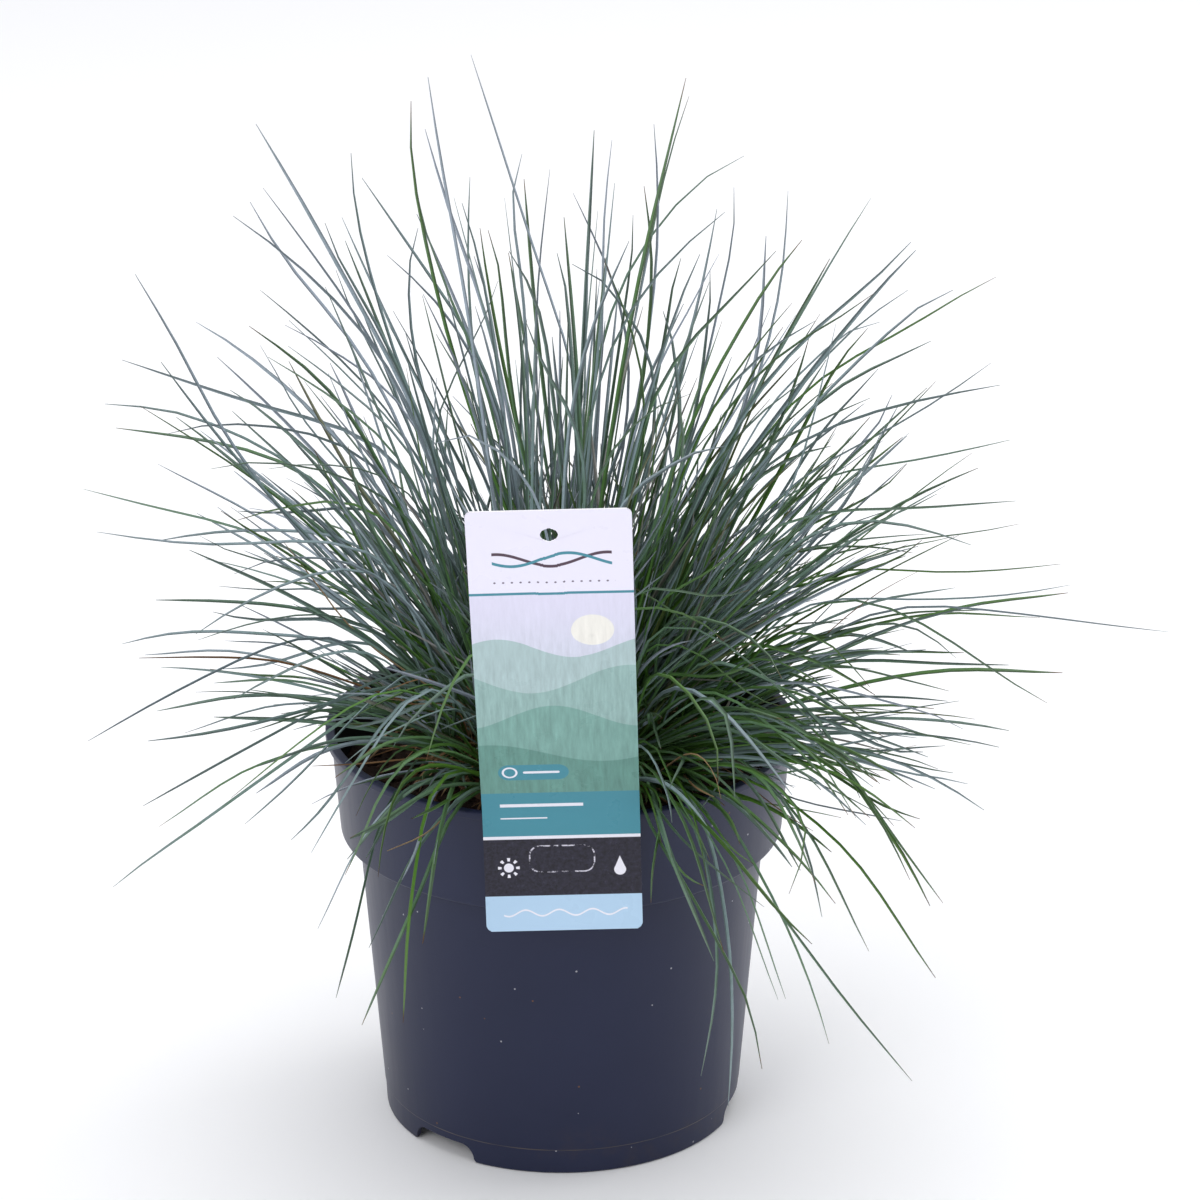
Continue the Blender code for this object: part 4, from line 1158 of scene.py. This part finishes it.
def label_outline():
    points = []
    half = LABEL_WIDTH / 2
    for corner_x, corner_y, first in ((half, 0, -90), (half, LABEL_LENGTH, 0),
                                      (-half, LABEL_LENGTH, 90), (-half, 0, 180)):
        centre_x = corner_x - math.copysign(LABEL_CORNER, corner_x)
        centre_y = corner_y + (LABEL_CORNER if corner_y == 0 else -LABEL_CORNER)
        for step in range(13):
            angle = math.radians(first + 7.5 * step)
            points.append((centre_x + LABEL_CORNER * math.cos(angle),
                           centre_y + LABEL_CORNER * math.sin(angle), 0.0))
    return points


def label_hook():
    """Strip that runs from the card's back over the lip and down inside the pot."""
    inside, over = HOOK_INSIDE_Y, RIM_HEIGHT + HOOK_RISE
    upper = [label_middle(HOOK_START), (HOOK_LIP_Y, over + HOOK_CREST),
             (inside + HOOK_THICKNESS / 2, over + HOOK_THICKNESS), (inside + HOOK_THICKNESS, over),
             (inside + HOOK_THICKNESS, HOOK_END)]
    lower = [(inside, HOOK_END), (inside, over - HOOK_THICKNESS / 2),
             (HOOK_LIP_Y, over - HOOK_SAG), label_middle(HOOK_START - HOOK_ROOT)]
    return [(-HOOK_WIDTH / 2, y, z) for y, z in upper + lower]


def build_label(material):
    middle = LABEL_LENGTH - LABEL_HOLE_DROP
    hole = [(LABEL_HOLE_RADIUS * math.cos(turn), middle + LABEL_HOLE_RADIUS * math.sin(turn), 0.0)
            for turn in np.linspace(0, math.tau, 41)[:-1]]
    bm = bmesh.new()
    for loop in (label_outline(), hole):
        verts = [bm.verts.new(point) for point in loop]
        for first, second in zip(verts, verts[1:] + verts[:1]):
            bm.edges.new((first, second))
    bmesh.ops.triangle_fill(bm, edges=bm.edges[:], use_beauty=True)
    for along in np.linspace(LABEL_BEND_START, LABEL_BEND_START + LABEL_BEND_LENGTH, 12):
        bmesh.ops.bisect_plane(bm, geom=bm.verts[:] + bm.edges[:] + bm.faces[:], dist=1e-7,
                               plane_co=(0.0, along, 0.0), plane_no=(0.0, 1.0, 0.0))
    made = bmesh.ops.extrude_face_region(bm, geom=bm.faces[:])["geom"]
    bmesh.ops.translate(bm, vec=(0.0, 0.0, LABEL_THICKNESS),
                        verts=[vert for vert in made if isinstance(vert, bmesh.types.BMVert)])
    flat = [tuple(vert.co) for vert in bm.verts]
    for vert in bm.verts:
        y, z, lean = label_back(vert.co.y)
        depth = vert.co.z
        vert.co = (vert.co.x, y - depth * math.cos(lean), z - depth * math.sin(lean))
    hook = bm.faces.new([bm.verts.new(point) for point in label_hook()])
    made = bmesh.ops.extrude_face_region(bm, geom=[hook])["geom"]
    bmesh.ops.translate(bm, vec=(HOOK_WIDTH, 0.0, 0.0),
                        verts=[vert for vert in made if isinstance(vert, bmesh.types.BMVert)])
    flat += [(0.0, 0.0, 0.0)] * (len(bm.verts) - len(flat))
    pivot = Vector((0.0, LABEL_BACK_Y, RIM_HEIGHT))
    aside = Vector((LABEL_SHIFT, 0.0, 0.0))
    bmesh.ops.transform(bm, verts=bm.verts, matrix=Matrix.Translation(pivot + aside)
                        @ Matrix.Rotation(LABEL_ROLL, 4, "Y") @ Matrix.Translation(-pivot))
    bmesh.ops.recalc_face_normals(bm, faces=bm.faces)
    label = add_piece("printed_label", bm, material, smooth_angle=30.0)
    flat = np.array(flat)
    set_values(label, across=(flat[:, 0] + LABEL_WIDTH / 2) / MM, along=flat[:, 1] / MM,
               front=flat[:, 2] / LABEL_THICKNESS)
    stand_for(label, "plant_label")


# Leaf paths and meshes

def spline(points, count):
    """A smooth curve through the points, as an even number of stations along it."""
    points = np.asarray(points, float)
    chords = np.linalg.norm(np.diff(points, axis=0), axis=1)
    times = np.concatenate(((0.0,), np.cumsum(chords)))
    slopes = np.gradient(points, times, axis=0)
    dense = np.linspace(0.0, times[-1], 6 * count)
    segment = np.clip(np.searchsorted(times, dense, side="right") - 1, 0, len(chords) - 1)
    span = chords[segment][:, None]
    share = ((dense - times[segment])[:, None]) / span
    square, cube = share ** 2, share ** 3
    curve = ((2 * cube - 3 * square + 1) * points[segment]
             + (cube - 2 * square + share) * span * slopes[segment]
             + (3 * square - 2 * cube) * points[segment + 1]
             + (cube - square) * span * slopes[segment + 1])
    lengths = np.concatenate(((0.0,), np.cumsum(np.linalg.norm(np.diff(curve, axis=0), axis=1))))
    even = np.linspace(0.0, lengths[-1], count)
    return np.stack([np.interp(even, lengths, curve[:, axis]) for axis in range(3)], axis=1)


def label_back_y(height):
    """Y of the card's back at a height, the bend taken as one sharp fold."""
    bend = LABEL_BOTTOM + LABEL_BEND_START + LABEL_BEND_LENGTH / 2
    return LABEL_BACK_Y - np.maximum(height - bend, 0.0) * math.tan(LABEL_LEAN)


def is_clear(path, room=1.2 * MM):
    """True if a leaf keeps off the surface, the peat, the rim, the pot's wall and the label."""
    spots = spline(path, 48)[4:]
    radius = np.hypot(spots[:, 0], spots[:, 1])
    height = spots[:, 2]
    inside = (radius < LIP_INNER_RADIUS - room) & (height > SOIL_TOP + 1.5 * MM)
    above = height > RIM_HEIGHT + room
    outside = (radius > LIP_RADIUS + room) & (height > 3 * MM)
    if not np.all(inside | above | outside):
        return False
    label_top = LABEL_BOTTOM + LABEL_LENGTH * math.cos(LABEL_LEAN) + 6 * MM
    middle = LABEL_SHIFT + math.tan(LABEL_ROLL) * (height - RIM_HEIGHT)
    near = (np.abs(spots[:, 0] - middle) < LABEL_WIDTH / 2 + 1.5 * MM) & (height < label_top) \
        & (height > LABEL_BOTTOM - 4 * MM)
    return not np.any(near & (spots[:, 1] < label_back_y(height) + 2.5 * MM))


def stays_in_box(path):
    low, high = np.array(cad_box[0]), np.array(cad_box[1])
    return np.all(path > low - 2 * MM) and np.all(path < high + 2 * MM)


def trace_shoot(node):
    """The leaf centre lines of a packed shoot, base first, longest leaf first."""
    mesh = frame["nodes"][node].data
    index, places, links, tips = {}, [], {}, set()
    welded = []
    for vertex in mesh.vertices:
        key = tuple(round(value, 5) for value in vertex.co)
        if key not in index:
            index[key] = len(places)
            places.append(np.array(vertex.co))
            links[index[key]] = set()
        welded.append(index[key])
    for polygon in mesh.polygons:
        corners = [welded[number] for number in polygon.vertices]
        for first, second in zip(corners, corners[1:] + corners[:1]):
            links[first].add(second)
            links[second].add(first)
        around = sum(np.linalg.norm(places[first] - places[second])
                     for first, second in zip(corners, corners[1:] + corners[:1]))
        if around < TIP_PERIMETER:
            tips.add(frozenset(corners))
    lines = []
    for tip in tips:
        ring, seen, line = set(tip), set(tip), []
        while len(ring) == 3 and len(line) < 5:
            line.append(np.mean([places[number] for number in ring], axis=0))
            ring = {near for number in ring for near in links[number]} - seen
            seen |= ring
        lines.append(np.array(line[::-1]))
    return sorted(lines, key=lambda line: -np.linalg.norm(line[-1] - line[0]))


class Leaves:
    """Leaves joined into one mesh, with the values that their material reads."""

    def __init__(self, rng):
        self.rng = rng
        self.points, self.faces = [], []
        self.values = {"tone": [], "along": [], "across": [], "dryness": []}

    def add(self, path, half_width, tone, dryness=0.0, stations=LEAF_STATIONS):
        centres = spline(path, stations)
        tangents = np.gradient(centres, axis=0)
        tangents /= np.linalg.norm(tangents, axis=1)[:, None]
        side = np.cross(tangents[0], UP + 0.01)
        side /= np.linalg.norm(side)
        turn = self.rng.uniform(-LEAF_TURN, LEAF_TURN) + self.rng.choice((0.0, math.pi))
        twist = self.rng.uniform(-LEAF_TWIST, LEAF_TWIST)
        section = np.array(LEAF_SECTION)
        share = np.linspace(0.0, 1.0, stations)
        # A little slimmer at the base, and slimmer again from there to the pointed tip
        widths = half_width * (0.85 + 0.15 * np.minimum(share / 0.15, 1.0)) * (1.0 - 0.15 * share)
        widths = np.maximum(widths * (1.0 - share ** 10) ** 0.8, TIP_HALF_WIDTH)
        first = sum(len(block) for block in self.points)
        for station, (centre, tangent) in enumerate(zip(centres, tangents)):
            side = side - tangent * (side @ tangent)
            side /= np.linalg.norm(side)
            outward = np.cross(side, tangent)
            angle = turn + twist * share[station]
            right = math.cos(angle) * side + math.sin(angle) * outward
            front = math.cos(angle) * outward - math.sin(angle) * side
            self.points.append(centre + widths[station]
                               * (section[:, :1] * right + section[:, 1:] * front))
        count = len(section)
        for station in range(stations - 1):
            for corner in range(count):
                low = first + station * count
                high, after = low + count, (corner + 1) % count
                self.faces.append((low + corner, low + after, high + after, high + corner))
        self.faces.append(tuple(range(first + count - 1, first - 1, -1)))
        last = first + (stations - 1) * count
        self.faces.append(tuple(range(last, last + count)))
        total = stations * count
        self.values["tone"].append(np.full(total, tone))
        self.values["dryness"].append(np.full(total, dryness))
        self.values["along"].append(np.repeat(share, count))
        self.values["across"].append(np.tile(section[:, 0] * 0.5 + 0.5, stations))

    def build(self, name, *materials):
        piece = add_piece(name, (np.concatenate(self.points).tolist(), [], self.faces), *materials,
                          smooth_angle=50.0)
        set_values(piece, **{key: np.concatenate(blocks) for key, blocks in self.values.items()})
        return piece

    def add_solid(self, corners, faces, tone, dryness):
        first = sum(len(block) for block in self.points)
        self.points.append(np.array(corners))
        self.faces += [tuple(first + number for number in face) for face in faces]
        for key, value in (("tone", tone), ("dryness", dryness), ("along", 0.1), ("across", 0.5)):
            self.values[key].append(np.full(len(corners), value))


def photo_path(row, start):
    """A leaf from its place on the crown through the points that the photograph shows."""
    depth, *pixels = row
    depth *= 0.01
    base = project(start)
    spans = [math.dist(pixel, base) for pixel in pixels]
    for forward in (1.0, 0.8, 0.65, 0.5, 0.4, 0.3):
        points = [start]
        for pixel, span in zip(reversed(pixels), reversed(spans)):
            share = min(span / spans[0], 1.0) ** forward
            points.append(lift(pixel, start[1] + (depth - start[1]) * share))
        path = eased_path(spline(points, LEAF_STATIONS))
        if is_clear(path):
            return path
    return None


def eased_path(path):
    """The path with its sharp turns eased, the more so the nearer to its base."""
    pull = np.linspace(1.0, 0.0, len(path))[1:-1, None]
    for _ in range(EASE_PASSES):
        path[1:-1] += 0.5 * pull * ((path[:-2] + path[2:]) / 2 - path[1:-1])
    return path


def project(point):
    across, away, up = (np.asarray(point) - CAMERA_PLACE).T
    depth = away * math.cos(CAMERA_DIP) - up * math.sin(CAMERA_DIP)
    rise = away * math.sin(CAMERA_DIP) + up * math.cos(CAMERA_DIP)
    return (PHOTO_SIDE / 2 + FOCAL_PIXELS * across / depth,
            PHOTO_SIDE / 2 - FOCAL_PIXELS * rise / depth)


def crosses_gap(path):
    """True if a leaf would be seen across one of the photograph's gaps."""
    spots = np.stack(project(spline(path, 72)), axis=1)
    return any(np.any((((spots - middle) / half) ** 2).sum(axis=1) < 1.0) for middle, half in GAPS)


def assign_photo_leaves(shoots):
    """Give each leaf of the photograph to a shoot whose leaves reach near to its tip.

    Each shoot gets rows of the leaf's kind, its path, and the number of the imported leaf
    that it takes the place of, if there is one.
    """
    rng = random.Random(3)
    given = {name: [] for name in shoots}
    for kind, rows in (("fresh", PHOTO_LEAVES), ("pale", PALE_LEAVES), ("yellow", YELLOW_LEAVES),
                       ("dry", DRY_LEAVES)):
        for row in rows:
            tip = lift(row[1], row[0] * 0.01)
            crown = np.array((0.0, 0.0, SOIL_TOP))
            aim = (tip - crown) / np.linalg.norm(tip - crown)

            def fit(name):
                lines = shoots[name]
                nearest = min(np.linalg.norm(line[-1] - tip) for line in lines)
                if nearest < SAME_LEAF:
                    return nearest - CARRIER_SPREAD
                start = lines[0][0] - crown
                start /= np.linalg.norm(start)
                return nearest - AIM_GAIN * (start @ aim) + rng.uniform(0.0, CARRIER_SPREAD)

            for name in sorted(shoots, key=fit):
                gaps = [np.linalg.norm(line[-1] - tip) for line in shoots[name]]
                near = int(np.argmin(gaps))
                path = photo_path(row, shoots[name][near][0])
                if path is not None and stays_in_box(path):
                    given[name].append((kind, path, near if gaps[near] < SAME_LEAF else None))
                    break
    return given


def turned(path, start, azimuth, lift_angle, lean, share, straight):
    """A leaf's line moved to a new start, swung, raised, leaned, shortened and straightened."""
    reach = path[-1] - path[0]
    side = np.cross(reach, UP)
    side /= np.linalg.norm(side)
    turn = Matrix.Rotation(azimuth, 3, "Z") @ Matrix.Rotation(lift_angle, 3, Vector(side)) \
        @ Matrix.Rotation(lean, 3, Vector(np.cross(UP, side)))
    whole = spline(path, 24)
    keep = max(int(round(share * 24)), 4)
    offsets = whole[:keep] - path[0]
    chord = np.linspace(0.0, 1.0, keep)[:, None] * offsets[-1]
    return start + (offsets + straight * (chord - offsets)) @ np.array(turn).T


def fine_leaf(rng, lines):
    """One fine leaf of a shoot, which starts beside its sheath and strays from its leaves."""
    lean = np.interp(heading(lines[0])[2], (0.0, 1.0), FINE_LEANS)
    for _ in range(FINE_TRIES):
        line = lines[min(int(rng.expovariate(0.9)), len(lines) - 1)]
        offset = np.array((rng.gauss(0, 1), rng.gauss(0, 1), rng.gauss(0, 0.6)))
        start = line[0] + offset * FINE_START_SPREAD
        radial = math.hypot(start[0], start[1]) / CROWN_RADIUS
        start[:2] *= min(CROWN_EDGE / radial, 1.0)
        mound = SOIL_TOP + CROWN_HEIGHT * math.sqrt(1.0 - min(radial, CROWN_EDGE) ** 2)
        start[2] = min(start[2], mound + FINE_START_RISE)
        swing, rise = rng.gauss(0.0, FINE_SWING), rng.gauss(*FINE_RISE)
        stray = min(math.hypot(swing, rise), MOST_STRAY)
        path = turned(line, start, swing, rise, rng.gauss(0.0, lean),
                      rng.triangular(*FINE_SHARES) * (1.0 - STRAY_LOSS * stray),
                      rng.uniform(*FINE_STRAIGHT))
        length = np.linalg.norm(path[-1] - path[0])
        share = np.linspace(0.0, 1.0, len(path))[:, None]
        side = np.cross(path[-1] - path[0], UP)
        side /= np.linalg.norm(side)
        path = path + side * length * rng.gauss(0.0, FINE_BEND) * np.sin(math.pi * share) \
            - UP * length * abs(rng.gauss(0.0, FINE_DROOP)) * share ** 2
        if is_clear(path) and stays_in_box(path) and not crosses_gap(path):
            return path
    return None


def heading(line):
    """Direction from a leaf's base to its tip."""
    reach = line[-1] - line[0]
    return reach / np.linalg.norm(reach)


def fine_count(line):
    across, _, rise = heading(line)
    return round(float(np.interp(rise, *zip(*FINE_COUNTS))) * (1.0 + FINE_RIGHT_GAIN * across))


def build_tufts(materials):
    """One mesh for each packed shoot: its traced leaves, its own others and its fine ones."""
    names = sorted(name for name in frame["nodes"] if name.startswith("tuft_"))
    shoots = {name: trace_shoot(name) for name in names}
    given = assign_photo_leaves(shoots)
    slots = {row["node"]: row["material_slot"] for row in frame["record"]["subparts"]}
    for number, name in enumerate(names):
        rng = random.Random(1000 + number)
        lines = shoots[name]
        leaves = Leaves(rng)
        taken = {near for _, _, near in given[name]}
        across, _, rise = heading(lines[0])
        # Paler on the left as painted light, and paler when steep
        paler = STEEP_TONE_GAIN * (rise - MIDDLE_SLOPE) - LEFT_PAINTED_LIGHT_GAIN * across
        for kind, path, _ in given[name]:
            tone = {"fresh": rng.uniform(*TRACED_TONES) + paler, "pale": PALE_TONE,
                    "yellow": YELLOW_TONE, "dry": rng.uniform(*DRY_TONES)}[kind]
            half_width = rng.uniform(*(DRY_HALF_WIDTH if kind == "dry" else LEADING_HALF_WIDTH))
            leaves.add(path, half_width, tone, 1.0 if kind == "dry" else 0.0)
        for index, line in enumerate(lines):
            if index not in taken:
                leaves.add(line, rng.uniform(*LEADING_HALF_WIDTH),
                           rng.uniform(*PACKED_TONES) + paler)
        for _ in range(fine_count(lines[0])):
            path = fine_leaf(rng, lines)
            if path is not None:
                leaves.add(path, rng.uniform(*FINE_HALF_WIDTH),
                           rng.betavariate(*FINE_TONE_SHAPE) + paler, rng.choice(FINE_DRYNESS))
        stand_for(leaves.build(f"{name}_leaves", materials[slots[name]]), name)


def main():
    add_camera()
    add_studio()
    build_pot(plastic_material())
    build_soil(peat_material())
    build_label(label_material())
    build_crown(leaf_material("dry_sheath", 0.0))
    build_tufts({slot: leaf_material(slot, bluer) for slot, bluer in BLUER.items()})


main()
